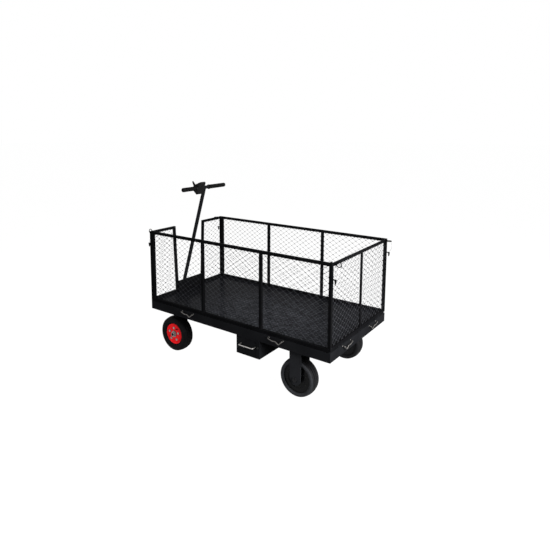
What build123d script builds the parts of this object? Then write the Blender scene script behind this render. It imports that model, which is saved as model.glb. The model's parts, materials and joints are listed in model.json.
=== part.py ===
from build123d import *

import os
from math import atan2, ceil, cos, degrees, radians, sin, tan

os.makedirs("parts", exist_ok=True)

# Electric platform cart: a steel deck with a mesh cage, steered by a drawbar handle on a turntable
# front axle and driven by two hub-motor rear wheels. Millimetres, +Z up. The origin is on the floor
# under the middle of the cart. +X runs to the tail, -X to the handle, -Y to the battery drawer.

# Platform
deck_length = 1500.0
deck_width = 800.0
deck_center = 34.0  # the drawbar reaches further out than the pins of the tail panel
frame_clearance = 309.0  # floor to the underside of the frame
rail_height = 60.0
rail_width = 40.0
rail_wall = 3.0
plate_thickness = 3.0
plate_gap = 0.4  # between the deck plate and what stands round it

# Fits
weld_gap = 0.2  # between pieces that are welded edge to edge
slide_gap = 0.3  # between faces that pass each other
shaft_gap = 0.05  # radial, a shaft that turns or slides in its bore
bolt_gap = 0.25  # radial, a bolt in its hole

# Cage
tube = 18.0  # square tube of the panels
slim = 9.0  # flat tube of the tail panel and of the side panels' posts next to it
cage_height = 526.0  # deck to the top of the cage
panel_gap = 6.0  # daylight under the tail panel's bottom rail
side_gap = 2.0  # the same under the side panels
corner_gap = 1.5  # between a side panel and the end panels
peg = 8.0
peg_length = 45.0
peg_gap = 0.5
stub_top_half_gap = 154.0  # half the opening for the handle, at the top of the end panels
stub_low_half_gap = 132.0  # the same at the deck
diamond_width = 51.0
diamond_height = 35.5
strand_width = 1.1
strand_thickness = 1.1
board_height = 90.0
board_thickness = 3.0
board_hem = 14.0
board_overlap = 16.0  # behind the slanting posts
board_setback = 29.0  # keeps the low board clear of the handle when it is steered

# Tail panel hinges, butt hinges that lie closed in the gap under the bottom rail
knuckle_radius = 2.7
hinge_pin_radius = 1.5
hinge_width = 60.0
hinge_leaf = 2.0
hinge_leaf_depth = 21.0
hinge_spacing = 270.0
hinge_count = 3

# Corner pins
pin_radius = 5.0
pin_inset = 32.0  # in from the platform's long side
pin_engagement = 18.0  # past the side panel's end
pin_head_radius = 8.0
pin_head_length = 12.0
ring_radius = 15.0
ring_wire = 2.75
lug_thickness = 6.0
lug_setback = 9.0  # from the side panel's end to the lug
lug_slot_radius = 6.0
lug_margin = 4.0  # beside the slot
lug_drop = 16.0  # below the pin
keeper_drop = 82.0
keeper_reach = 24.0
keeper_thickness = 6.0
keeper_arm = 6.0
keeper_hook = 28.0
keeper_root = 11.0
keeper_tip = 5.0
lanyard_radius = 1.0

# Rope hooks
hook_wire = 6.0
hook_standoff = 16.0
hook_length = 106.0
hook_height = 49.0  # above the frame's lower edge
hook_bend = 6.0
hook_profile = [(0.0, 0.0), (0.3, -10.0), (0.56, -9.0), (0.76, -24.0), (1.0, 0.0)]  # share of length, height
hook_from_end = 375.0  # from the platform's ends to the hooks on its long sides
tail_hook_spacing = 380.0

# Wheels
front_wheel_radius = 130.0
front_wheel_setback = 171.0  # axle behind the handle end
front_wheel_inset = 90.0  # middle of the tyre in from the platform's long side
front_tyre_width = 90.0
front_rim_radius = 76.0
front_seat_radius = 69.0
front_seat_width = 58.0
rim_sheet = 4.0
spindle_radius = 10.0
hub_radius = 22.0
hub_half_length = 36.0
hub_flange_radius = 56.0
wheel_bolt_circle_radius = 46.0
wheel_bolt_count = 5
wheel_bolt_radius = 5.0
rear_wheel_radius = 122.0
rear_wheel_setback = 251.0  # axle before the tail end
rear_wheel_inset = 80.0
rear_tyre_width = 88.0
motor_rim_radius = 90.0
motor_seat_radius = 83.0
motor_seat_width = 52.0
motor_half_width = 30.0
motor_boss_radius = 22.0
motor_boss_half_width = 40.0
tread_groove_width = 5.0
tread_groove_depth = 4.0

# Rear forks
fork_plate = 8.0
fork_leg = 6.0
fork_leg_top_width = 84.0
fork_leg_end_radius = 38.0
fork_tyre_gap = 4.0
fork_plate_length = 100.0
rear_axle_radius = 8.0
axle_nut_flats = 24.0
axle_nut_height = 12.0
bolt_radius = 5.0
bolt_flats = 17.0
bolt_head = 6.4
fork_bolt_grid = (76.0, 60.0)
turntable_bolt_grid = (140.0, 180.0)

# Steering
turntable_half = 110.0
turntable_plate_height = 8.0
race_radius = 100.0
race_inner_radius = 80.0
race_height = 7.7
kingpin_radius = 10.0
kingpin_nut_flats = 30.0
kingpin_nut_height = 12.0
axle_block = 40.0
stand_plate = 6.0
stand_beam = 50.0
stand_leg = 32.0
stand_gusset = 30.0
stand_chamfer = 20.0
stand_tyre_gap = 6.0
drawbar_width = 40.0
drawbar_height = 30.0
drawbar_clearance = 19.0  # under the race
drawbar_end = 30.0  # from the handle's pivot
clevis_plate = 8.0
clevis_radius = 16.0
clevis_gap = 30.0
stop_radius = 4.0
stop_rise = 19.0  # up the handle from its pivot

# Handle
handle_lean = 16.9  # degrees, inwards over the platform, parked against its stop
handle_pivot_height = 285.0
handle_pivot_reach = 95.0  # out from the handle end
handle_length = 954.0
handle_radius = 14.0
handle_wall = 2.0
pivot_bolt_radius = 6.0
bar_length = 462.0
bar_radius = 12.5
bar_wall = 2.0
grip_radius = 16.0
grip_length = 125.0  # beside the throttle
long_grip_length = 190.0  # on the other half of the bar
grip_end = 5.0
head_width = 74.0
head_center = -52.0
shoulder_start = 62.0  # from the handle to where the head's top slopes off
shoulder_slope = 42.0  # degrees
throttle_width = 12.0
throttle_clearance = 1.0
throttle_ring_radius = 17.5
throttle_reach = 60.0
throttle_rise = 44.0  # degrees above the direction of the person who pulls

# Battery drawer
box_from_center = 156.5  # from the platform's middle towards the tail
box_width = 186.0
box_height = 121.0
box_depth = 320.0
box_sheet = 2.0
box_tail_lip = 26.0  # the lip of the mouth on the tail side, wider for the latch
box_lip = 8.0
drawer_gap = 1.5
drawer_sheet = 2.0
drawer_face_setback = 1.5
drawer_tray_height = 70.0
drawer_depth = 290.0
drawer_floor_rise = 3.0  # tray above the opening's lower lip
runner_sheet = 2.0
runner_height = 20.0
pull_wire = 8.0
pull_bend = 9.0
pull_length = 114.0
pull_shift = 11.0  # off the drawer's middle, towards the tail
pull_standoff = 30.0
pull_height = 73.0  # above the bottom of the box
battery_size = (136.0, 250.0, 78.0)

# Controller
controller_from_center = -190.0
controller_size = (170.0, 110.0, 46.0)
controller_fin = 4.0
controller_fin_pitch = 10.0
controller_fin_height = 14.0

# Levels and stations
rail_top = frame_clearance + rail_height
deck_top = rail_top + plate_thickness
cage_top = deck_top + cage_height
half_length = deck_length / 2
half_width = deck_width / 2
tail_end = deck_center + half_length
handle_end = deck_center - half_length
kingpin_x = handle_end + front_wheel_setback
front_track = deck_width - 2 * front_wheel_inset
front_wheel_y = -front_track / 2
rear_axle_x = tail_end - rear_wheel_setback
rear_track = deck_width - 2 * rear_wheel_inset
rear_wheel_y = -rear_track / 2
board_face = handle_end + board_setback
hinge_x = tail_end - knuckle_radius
leaf_edge = hinge_x - knuckle_radius - slide_gap
box_x = deck_center + box_from_center
controller_x = deck_center + controller_from_center
side_handle_end = handle_end + tube + corner_gap
side_tail_end = tail_end - slim - corner_gap
side_length = side_tail_end - side_handle_end
panel_low = deck_top + panel_gap
window_low = panel_low + tube
side_low = deck_top + side_gap
side_window_low = side_low + tube
stub_low = deck_top + weld_gap
stub_window_low = stub_low + tube
window_high = cage_top - tube
pin_y = half_width - pin_inset
pin_z = cage_top - tube / 2
cross_member_stations = [
    kingpin_x - 70,
    kingpin_x + 70,
    controller_x,
    box_x - 60,
    box_x + 60,
    rear_axle_x - 32,
    rear_axle_x + 32,
]
post_widths = [tube, tube, tube, slim]
bay = (side_length - sum(post_widths)) / 3
post_stations = [side_handle_end + tube / 2 + (bay + tube) * i for i in range(3)] + [side_tail_end - slim / 2]
peg_places = [(x, y) for x in post_stations for y in (-half_width + tube / 2, half_width - tube / 2)]


def finish(builder, name):
    """Label a finished piece and write it."""
    builder.part.label = name
    export_step(builder.part, f"parts/{name}.step")


def finish_far(builder, name):
    """Write the mirror image, on the far side, of a piece drawn for the near side."""
    with BuildPart() as far_builder:
        mirror(builder.part, about=Plane.XZ)
    finish(far_builder, f"{name}_far")


def finish_pair(builder, name):
    """Write a piece of the near side and its mirror image on the far side."""
    finish(builder, f"{name}_near")
    finish_far(builder, name)


# Frame rails, mitred at the corners
def mitred_corners(reach, face, wall):
    """Corners of a rail's section in plan, drawn in from its long faces by the wall."""
    outer_half = reach - wall - weld_gap
    inner_half = reach - rail_width + wall - weld_gap
    outer = face - wall
    inner = face - rail_width + wall
    return [(-outer_half, outer), (outer_half, outer), (inner_half, inner), (-inner_half, inner)]


with BuildPart() as frame_rails:
    for turn, reach, face in (
        (0, half_length, half_width),
        (180, half_length, half_width),
        (90, half_width, half_length),
        (270, half_width, half_length),
    ):
        rail_place = Location((deck_center, 0, 0), (0, 0, turn))
        with BuildSketch(Plane.XY.offset(frame_clearance)):
            with Locations(rail_place):
                Polygon(*mitred_corners(reach, face, 0), align=None)
        extrude(amount=rail_height)
        with BuildSketch(Plane.XY.offset(frame_clearance + rail_wall)):
            with Locations(rail_place):
                Polygon(*mitred_corners(reach, face, rail_wall), align=None)
        extrude(amount=rail_height - 2 * rail_wall, mode=Mode.SUBTRACT)
    with BuildSketch(Plane.XY.offset(rail_top)):
        with Locations(*peg_places):
            Rectangle(peg + 2 * peg_gap, peg + 2 * peg_gap)
    extrude(amount=-1.5 * rail_wall, mode=Mode.SUBTRACT)
finish(frame_rails, "frame_rails")

with BuildPart() as cross_members:
    with BuildSketch(Plane.XZ):
        with Locations(*[(x, frame_clearance + rail_height / 2) for x in cross_member_stations]):
            Rectangle(rail_width, rail_height)
            Rectangle(rail_width - 2 * rail_wall, rail_height - 2 * rail_wall, mode=Mode.SUBTRACT)
    extrude(amount=half_width - rail_width - weld_gap, both=True)
finish(cross_members, "cross_members")

# Deck plate, between the panels, the low board and the tail panel's hinges
plate_start = board_face + board_thickness + plate_gap
plate_end = leaf_edge - hinge_leaf_depth - plate_gap
with BuildPart() as deck_plate:
    with BuildSketch(Plane.XY.offset(rail_top)):
        with Locations(((plate_start + plate_end) / 2, 0)):
            Rectangle(plate_end - plate_start, deck_width - 2 * (tube + plate_gap))
    extrude(amount=plate_thickness)
finish(deck_plate, "deck_plate")


# Rope hooks: round bar, both feet welded to the frame, with a dip that holds the rope
def hook_points(dip_last):
    """The bar's corners: along the rail, up, and out from it."""
    bar = [(share * hook_length, up) for share, up in hook_profile]
    if not dip_last:
        bar = [(hook_length - along, up) for along, up in bar]
    return [(*bar[0], 0), *[(*corner, hook_standoff) for corner in bar], (*bar[-1], 0)]


hook_z = frame_clearance + hook_height
hook_places = []
for middle in (tail_end - hook_from_end, handle_end + hook_from_end):
    start = middle - hook_length / 2
    hook_places.append((Plane((start, -half_width, hook_z), (1, 0, 0), (0, -1, 0)), True))
    hook_places.append((Plane((start + hook_length, half_width, hook_z), (-1, 0, 0), (0, 1, 0)), False))
for middle in (-tail_hook_spacing / 2, tail_hook_spacing / 2):
    hook_places.append((Plane((tail_end, middle - hook_length / 2, hook_z), (0, 1, 0), (1, 0, 0)), False))

with BuildPart() as rope_hooks:
    for hook_plane, dip_last in hook_places:
        with BuildLine(hook_plane) as hook_line:
            FilletPolyline(*hook_points(dip_last), radius=hook_bend)
        with BuildSketch(Plane(hook_line.line @ 0, z_dir=hook_line.line % 0)):
            Circle(hook_wire / 2)
        sweep()
finish(rope_hooks, "rope_hooks")

# Rear forks, each an inverted U of two tapering legs under a bolted plate
fork_inside = rear_tyre_width / 2 + fork_tyre_gap
fork_top = frame_clearance - fork_plate
leg_inner_faces = [rear_wheel_y + fork_inside, rear_wheel_y - fork_inside - fork_leg]

with BuildPart() as rear_fork:
    with BuildSketch(Plane.XY.offset(fork_top)):
        with Locations((rear_axle_x, rear_wheel_y)):
            RectangleRounded(fork_plate_length, 2 * (fork_inside + fork_leg), 6)
            with GridLocations(*fork_bolt_grid, 2, 2):
                Circle(bolt_radius + bolt_gap, mode=Mode.SUBTRACT)
    extrude(amount=fork_plate)
    for face in leg_inner_faces:
        with BuildSketch(Plane.XZ.offset(-face)):
            with Locations((rear_axle_x, 0)):
                Polygon(
                    (-fork_leg_top_width / 2, fork_top),
                    (fork_leg_top_width / 2, fork_top),
                    (fork_leg_end_radius, rear_wheel_radius),
                    (-fork_leg_end_radius, rear_wheel_radius),
                    align=None,
                )
            with Locations((rear_axle_x, rear_wheel_radius)):
                Circle(fork_leg_end_radius)
                Circle(rear_axle_radius + shaft_gap, mode=Mode.SUBTRACT)
        extrude(amount=-fork_leg)
finish_pair(rear_fork, "rear_fork")

rear_axle_half = fork_inside + fork_leg + axle_nut_height + 4
with BuildPart() as rear_axles:
    for y in (rear_wheel_y, -rear_wheel_y):
        axle_plane = Plane.XZ.offset(-y)
        with BuildSketch(axle_plane):
            with Locations((rear_axle_x, rear_wheel_radius)):
                Circle(rear_axle_radius)
        extrude(amount=rear_axle_half, both=True)
        for turn in (-1, 1):
            with BuildSketch(axle_plane.offset(turn * (motor_boss_half_width + slide_gap))):
                with Locations((rear_axle_x, rear_wheel_radius)):
                    Circle(1.5 * rear_axle_radius)
            extrude(amount=turn * (fork_inside - motor_boss_half_width - slide_gap))
finish(rear_axles, "rear_axles")

# Bolts of the forks and the turntable, and the nuts of the rear axles
with BuildPart() as chassis_fasteners:
    for middle, grid in (
        ((rear_axle_x, rear_wheel_y), fork_bolt_grid),
        ((rear_axle_x, -rear_wheel_y), fork_bolt_grid),
        ((kingpin_x, 0), turntable_bolt_grid),
    ):
        with BuildSketch(Plane.XY.offset(fork_top)):
            with Locations(middle):
                with GridLocations(*grid, 2, 2):
                    RegularPolygon(bolt_flats / 2, 6, major_radius=False)
        extrude(amount=-bolt_head)
        with BuildSketch(Plane.XY.offset(fork_top)):
            with Locations(middle):
                with GridLocations(*grid, 2, 2):
                    Circle(bolt_radius)
        extrude(amount=fork_plate)
    for y in (rear_wheel_y, -rear_wheel_y):
        for turn in (-1, 1):
            with BuildSketch(Plane.XZ.offset(-y + turn * (fork_inside + fork_leg))):
                with Locations((rear_axle_x, rear_wheel_radius)):
                    RegularPolygon(axle_nut_flats / 2, 6, major_radius=False)
                    Circle(rear_axle_radius + shaft_gap, mode=Mode.SUBTRACT)
            extrude(amount=turn * axle_nut_height)
finish(chassis_fasteners, "chassis_fasteners")


# Wheels: profiles drawn with the axle along X and the radius along Y, then turned about the axle
front_wheel = Plane((kingpin_x, front_wheel_y, front_wheel_radius), x_dir=(0, 1, 0), z_dir=(1, 0, 0))
front_wheel_axis = Axis(front_wheel.origin, (0, 1, 0))
rear_wheel = Plane((rear_axle_x, rear_wheel_y, rear_wheel_radius), x_dir=(0, 1, 0), z_dir=(1, 0, 0))
rear_wheel_axis = Axis(rear_wheel.origin, (0, 1, 0))


def tyre(plane, radius, width, seat_radius, seat_width, rim_radius):
    """A tyre with round shoulders and three grooves in its tread, seated between the rim's flanges."""
    base = seat_width / 2 - slide_gap
    foot = seat_radius + slide_gap
    bead = rim_radius + 1
    shoulder = 0.78 * width / 2
    shoulder_radius = radius - 5
    bulge_radius = (rim_radius + shoulder_radius) / 2
    with BuildPart() as ring:
        with BuildSketch(plane):
            with BuildLine():
                Polyline((-base, bead), (-base, foot), (base, foot), (base, bead))
                ThreePointArc((base, bead), (width / 2, bulge_radius), (shoulder, shoulder_radius))
                ThreePointArc((shoulder, shoulder_radius), (0, radius), (-shoulder, shoulder_radius))
                ThreePointArc((-shoulder, shoulder_radius), (-width / 2, bulge_radius), (-base, bead))
            make_face()
            with Locations(*[(side * shoulder / 2, radius) for side in (-1, 0, 1)]):
                Rectangle(tread_groove_width, 2 * tread_groove_depth, mode=Mode.SUBTRACT)
        revolve(axis=Axis(plane.origin, (0, 1, 0)))
    return ring


front_tyre = tyre(
    front_wheel, front_wheel_radius, front_tyre_width, front_seat_radius, front_seat_width, front_rim_radius
)
finish_pair(front_tyre, "front_tyre")
rear_tyre = tyre(
    rear_wheel, rear_wheel_radius, rear_tyre_width, motor_seat_radius, motor_seat_width, motor_rim_radius
)
finish_pair(rear_tyre, "rear_tyre")

# Front rim: pressed channel with a nearly flush web that bolts to the hub
flange_in = front_seat_width / 2
flange_out = flange_in + rim_sheet
channel_low = front_seat_radius - rim_sheet
web_face = -30.0
web_back = web_face + rim_sheet
web_knee = channel_low - 6
with BuildPart() as front_rim:
    with BuildSketch(front_wheel):
        with BuildLine():
            Polyline(
                (-flange_out, front_rim_radius),
                (-flange_in, front_rim_radius),
                (-flange_in, front_seat_radius),
                (flange_in, front_seat_radius),
                (flange_in, front_rim_radius),
                (flange_out, front_rim_radius),
                (flange_out, channel_low),
                (web_back + 6, channel_low),
                (web_back, web_knee),
                (web_back, hub_radius + 2),
                (web_face, hub_radius + 2),
                (web_face, web_knee + 2),
                (web_face + 5, channel_low),
                (-flange_out, channel_low),
                close=True,
            )
        make_face()
    revolve(axis=front_wheel_axis)
    with BuildSketch(Plane.XZ.offset(-front_wheel_y)):
        with Locations((kingpin_x, front_wheel_radius)):
            with PolarLocations(wheel_bolt_circle_radius, wheel_bolt_count, start_angle=90):
                Circle(wheel_bolt_radius + bolt_gap)
    extrude(amount=flange_out, mode=Mode.SUBTRACT)
finish_pair(front_rim, "front_rim")

with BuildPart() as front_hub:
    with BuildSketch(front_wheel):
        with Locations((0, (hub_radius + spindle_radius + shaft_gap) / 2)):
            Rectangle(2 * hub_half_length, hub_radius - spindle_radius - shaft_gap)
        with Locations((web_back + 3, (hub_flange_radius + hub_radius) / 2)):
            Rectangle(6, hub_flange_radius - hub_radius)
    revolve(axis=front_wheel_axis)
    with BuildSketch(Plane.XZ.offset(-front_wheel_y - web_back)):
        with Locations((kingpin_x, front_wheel_radius)):
            with PolarLocations(wheel_bolt_circle_radius, wheel_bolt_count, start_angle=90):
                Circle(wheel_bolt_radius)
    extrude(amount=rim_sheet)
    with BuildSketch(Plane.XZ.offset(-front_wheel_y - web_face)):
        with Locations((kingpin_x, front_wheel_radius)):
            with PolarLocations(wheel_bolt_circle_radius, wheel_bolt_count, start_angle=90):
                RegularPolygon(1.6 * wheel_bolt_radius, 6, major_radius=False)
    extrude(amount=1.3 * wheel_bolt_radius)
finish_pair(front_hub, "front_hub")

# Rear hub motor: the casing is the rim, with concentric ribs on both covers
motor_flange_out = motor_seat_width / 2 + rim_sheet
motor_cover_radius = motor_seat_radius - 8
flange_middle = (motor_cover_radius + motor_rim_radius) / 2 - 1
rib_radii = [31.0, 45.0, 59.0]
with BuildPart() as motor_hub:
    with BuildSketch(rear_wheel):
        bore = rear_axle_radius + shaft_gap
        for width, inner, outer in (
            (2 * motor_half_width, bore, motor_cover_radius),
            (motor_seat_width, motor_cover_radius - 2, motor_seat_radius),
            (2 * motor_boss_half_width, bore, motor_boss_radius),
        ):
            with Locations((0, (inner + outer) / 2)):
                Rectangle(width, outer - inner)
        for turn in (-1, 1):
            with Locations((turn * (motor_flange_out - rim_sheet / 2), flange_middle)):
                Rectangle(rim_sheet, motor_rim_radius - motor_cover_radius + 2)
            with Locations(*[(turn * motor_half_width, radius) for radius in rib_radii]):
                Rectangle(5, 6, mode=Mode.SUBTRACT)
    revolve(axis=rear_wheel_axis)
finish_pair(motor_hub, "motor_hub")

# Turntable: a plate under the frame, a race that turns beneath it and the kingpin through both
race_top = fork_top - slide_gap
race_plate_top = race_top - race_height
race_plate_low = race_plate_top - turntable_plate_height
with BuildPart() as turntable_plate:
    with BuildSketch(Plane.XY.offset(fork_top)):
        with Locations((kingpin_x, 0)):
            RectangleRounded(2 * turntable_half, 2 * turntable_half, 10)
            Circle(kingpin_radius + shaft_gap, mode=Mode.SUBTRACT)
            with GridLocations(*turntable_bolt_grid, 2, 2):
                Circle(bolt_radius + bolt_gap, mode=Mode.SUBTRACT)
    extrude(amount=turntable_plate_height)
finish(turntable_plate, "turntable_plate")

kingpin_nut_top = race_plate_low - slide_gap
with BuildPart() as kingpin:
    with BuildSketch(Plane.XY.offset(kingpin_nut_top - kingpin_nut_height)):
        with Locations((kingpin_x, 0)):
            RegularPolygon(kingpin_nut_flats / 2, 6, major_radius=False)
    extrude(amount=kingpin_nut_height)
    with BuildSketch(Plane.XY.offset(kingpin_nut_top)):
        with Locations((kingpin_x, 0)):
            Circle(kingpin_radius)
    extrude(amount=frame_clearance - kingpin_nut_top)
finish(kingpin, "kingpin")

with BuildPart() as turntable_race:
    with BuildSketch(Plane.XY.offset(race_plate_low)):
        with Locations((kingpin_x, 0)):
            Circle(race_radius)
            Circle(kingpin_radius + shaft_gap, mode=Mode.SUBTRACT)
    extrude(amount=turntable_plate_height)
    with BuildSketch(Plane.XY.offset(race_plate_top)):
        with Locations((kingpin_x, 0)):
            Circle(race_radius)
            Circle(race_inner_radius, mode=Mode.SUBTRACT)
    extrude(amount=race_height)
finish(turntable_race, "turntable_race")

# Axle stand: two arch plates under the race, with legs that stand behind the wheels, and a stub axle
# between the feet of each pair of legs
leg_outer = front_track / 2 - front_tyre_width / 2 - stand_tyre_gap
leg_inner = leg_outer - stand_leg
beam_low = race_plate_low - stand_beam
gusset_low = beam_low - stand_gusset
gusset_inner = leg_inner - stand_gusset
foot_low = front_wheel_radius - axle_block / 2
half_arch = [
    (gusset_inner, beam_low),
    (leg_inner, gusset_low),
    (leg_inner, foot_low),
    (leg_outer, foot_low),
    (leg_outer, race_plate_low - stand_chamfer),
    (leg_outer - stand_chamfer, race_plate_low),
]
with BuildPart() as axle_stand:
    for turn in (-1, 1):
        with BuildSketch(Plane.YZ.offset(kingpin_x + turn * axle_block / 2)):
            Polygon(*half_arch, *[(-y, z) for y, z in reversed(half_arch)], align=None)
        extrude(amount=turn * stand_plate)
finish(axle_stand, "axle_stand")

shoulder_y = front_track / 2 - hub_half_length - slide_gap
spindle_end = front_track / 2 + hub_half_length + slide_gap + axle_nut_height + 2
with BuildPart() as front_axle:
    for turn in (-1, 1):
        with BuildSketch(Plane.XZ.offset(turn * leg_inner)):
            with Locations((kingpin_x, front_wheel_radius)):
                Rectangle(axle_block, axle_block)
        extrude(amount=turn * stand_leg)
        with BuildSketch(Plane.XZ.offset(turn * leg_outer)):
            with Locations((kingpin_x, front_wheel_radius)):
                Circle(1.5 * spindle_radius)
        extrude(amount=turn * (shoulder_y - leg_outer))
        with BuildSketch(Plane.XZ.offset(turn * shoulder_y)):
            with Locations((kingpin_x, front_wheel_radius)):
                Circle(spindle_radius)
        extrude(amount=turn * (spindle_end - shoulder_y))
finish(front_axle, "front_axle")

# Handle frame: local X towards the person who pulls, local Y up the handle, local Z along the T-bar
lean = radians(handle_lean)
handle_pivot_x = handle_end - handle_pivot_reach
outward = Vector(-cos(lean), 0, sin(lean))
upward = Vector(sin(lean), 0, cos(lean))
handle_plane = Plane((handle_pivot_x, 0, handle_pivot_height), x_dir=outward, z_dir=(0, 1, 0))


def on_handle(out, up, across=0.0):
    return handle_plane.from_local_coords(Vector(out, up, across))


# Drawbar: a tube from the axle stand to a clevis, with a cross bar that the parked handle rests on
stop_place = on_handle(-handle_radius - stop_radius - slide_gap, stop_rise)
tube_end = (handle_pivot_x + drawbar_end, race_plate_low - drawbar_clearance - drawbar_height / 2)
stand_front = kingpin_x - axle_block / 2 - stand_plate - weld_gap
with BuildPart() as drawbar:
    with BuildSketch(Plane.XZ):
        with Locations(((stand_front + tube_end[0]) / 2, tube_end[1])):
            Rectangle(stand_front - tube_end[0], drawbar_height)
    extrude(amount=drawbar_width / 2, both=True)
    for turn in (-1, 1):
        with BuildSketch(Plane.XZ.offset(turn * clevis_gap / 2)):
            with Locations((handle_pivot_x, handle_pivot_height)):
                Circle(clevis_radius)
            with Locations((stop_place.X, stop_place.Z)):
                Circle(stop_radius + 3)
            with Locations((tube_end[0] + 10, tube_end[1])):
                Circle(drawbar_height / 2)
            make_hull()
            with Locations((handle_pivot_x, handle_pivot_height)):
                Circle(pivot_bolt_radius + shaft_gap, mode=Mode.SUBTRACT)
        extrude(amount=turn * clevis_plate)
    with BuildSketch(Plane.XZ):
        with Locations((stop_place.X, stop_place.Z)):
            Circle(stop_radius)
    extrude(amount=clevis_gap / 2, both=True)
finish(drawbar, "drawbar")

# Pivot bolt of the handle and the nuts of the front axle
pivot_half = clevis_gap / 2 + clevis_plate
with BuildPart() as steering_fasteners:
    with BuildSketch(Plane.XZ):
        with Locations((handle_pivot_x, handle_pivot_height)):
            Circle(pivot_bolt_radius)
    extrude(amount=pivot_half, both=True)
    for turn in (-1, 1):
        with BuildSketch(Plane.XZ.offset(turn * pivot_half)):
            with Locations((handle_pivot_x, handle_pivot_height)):
                RegularPolygon(1.6 * pivot_bolt_radius, 6, major_radius=False)
        extrude(amount=turn * 8)
    for turn in (-1, 1):
        with BuildSketch(Plane.XZ.offset(turn * (front_track / 2 + hub_half_length + slide_gap))):
            with Locations((kingpin_x, front_wheel_radius)):
                RegularPolygon(kingpin_nut_flats / 2, 6, major_radius=False)
                Circle(spindle_radius + shaft_gap, mode=Mode.SUBTRACT)
        extrude(amount=turn * axle_nut_height)
finish(steering_fasteners, "steering_fasteners")

# Handle tube, coped round the T-bar at its top, with a pivot eye at its foot
handle_section = Plane((handle_pivot_x, 0, handle_pivot_height), x_dir=outward, z_dir=upward)
with BuildPart() as handle_tube:
    with BuildSketch(handle_section):
        Circle(handle_radius)
    extrude(amount=handle_length)
    with BuildSketch(handle_section.offset(clevis_radius)):
        Circle(handle_radius - handle_wall)
    extrude(amount=handle_length, mode=Mode.SUBTRACT)
    with BuildSketch(Plane.XZ):
        with Locations((handle_pivot_x, handle_pivot_height)):
            Circle(clevis_radius)
    extrude(amount=clevis_gap / 2 - slide_gap, both=True)
    with BuildSketch(Plane.XZ):
        with Locations((handle_pivot_x, handle_pivot_height)):
            Circle(pivot_bolt_radius + shaft_gap)
    extrude(amount=clevis_gap, both=True, mode=Mode.SUBTRACT)
    with BuildSketch(handle_plane):
        with Locations((0, handle_length)):
            Circle(bar_radius + weld_gap)
    extrude(amount=2 * handle_radius, both=True, mode=Mode.SUBTRACT)
finish(handle_tube, "handle_tube")

with BuildPart() as t_bar:
    with BuildSketch(handle_plane):
        with Locations((0, handle_length)):
            Circle(bar_radius)
            Circle(bar_radius - bar_wall, mode=Mode.SUBTRACT)
    extrude(amount=bar_length / 2, both=True)
finish(t_bar, "t_bar")

with BuildPart() as grips:
    for turn, length in ((-1, grip_length), (1, long_grip_length)):
        grip_start = bar_length / 2 - length + grip_end
        with BuildSketch(handle_plane.offset(turn * grip_start)):
            with Locations((0, handle_length)):
                Circle(grip_radius)
        extrude(amount=turn * length)
        with BuildSketch(handle_plane.offset(turn * grip_start)):
            with Locations((0, handle_length)):
                Circle(bar_radius + shaft_gap)
        extrude(amount=turn * (length - grip_end), mode=Mode.SUBTRACT)
    fillet(grips.edges().filter_by(GeomType.CIRCLE).filter_by(lambda e: e.radius > bar_radius + 1), 1.5)
finish(grips, "grips")

# Control head: a moulded box round the top of the handle, with its slanted face towards the person
panel_high = (-6.0, 52.0)
panel_low_edge = (39.0, -3.0)
panel_slope = atan2(panel_high[1] - panel_low_edge[1], panel_low_edge[0] - panel_high[0])
panel_middle = on_handle(
    (panel_high[0] + panel_low_edge[0]) / 2,
    handle_length + (panel_high[1] + panel_low_edge[1]) / 2,
    head_center,
)
panel_normal = outward * sin(panel_slope) + upward * cos(panel_slope)
panel = Plane(panel_middle, x_dir=(0, -1, 0), z_dir=panel_normal)
gauge_place = (-13.0, 16.0)
key_place = (17.0, -14.0)
rocker_place = (-15.0, -11.0)
horn_place = (14.0, 9.0)
gauge_size = (34.0, 15.0)
gauge_depth = 3.0
lock_radius = 8.0
lock_height = 3.0
key_shank_radius = 3.5
key_sheet = 2.4
rocker_size = (20.0, 13.0)
rocker_pocket = (21.0, 16.0)
rocker_depth = 11.0
rocker_pin_radius = 1.5
rocker_pin_depth = 3.0
horn_radius = 7.0
horn_travel = 3.0
horn_depth = 10.0
horn_rise = 4.0
rocker_side = Plane(panel.from_local_coords(Vector(*rocker_place, 0)), x_dir=panel.y_dir, z_dir=panel.x_dir)
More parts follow.
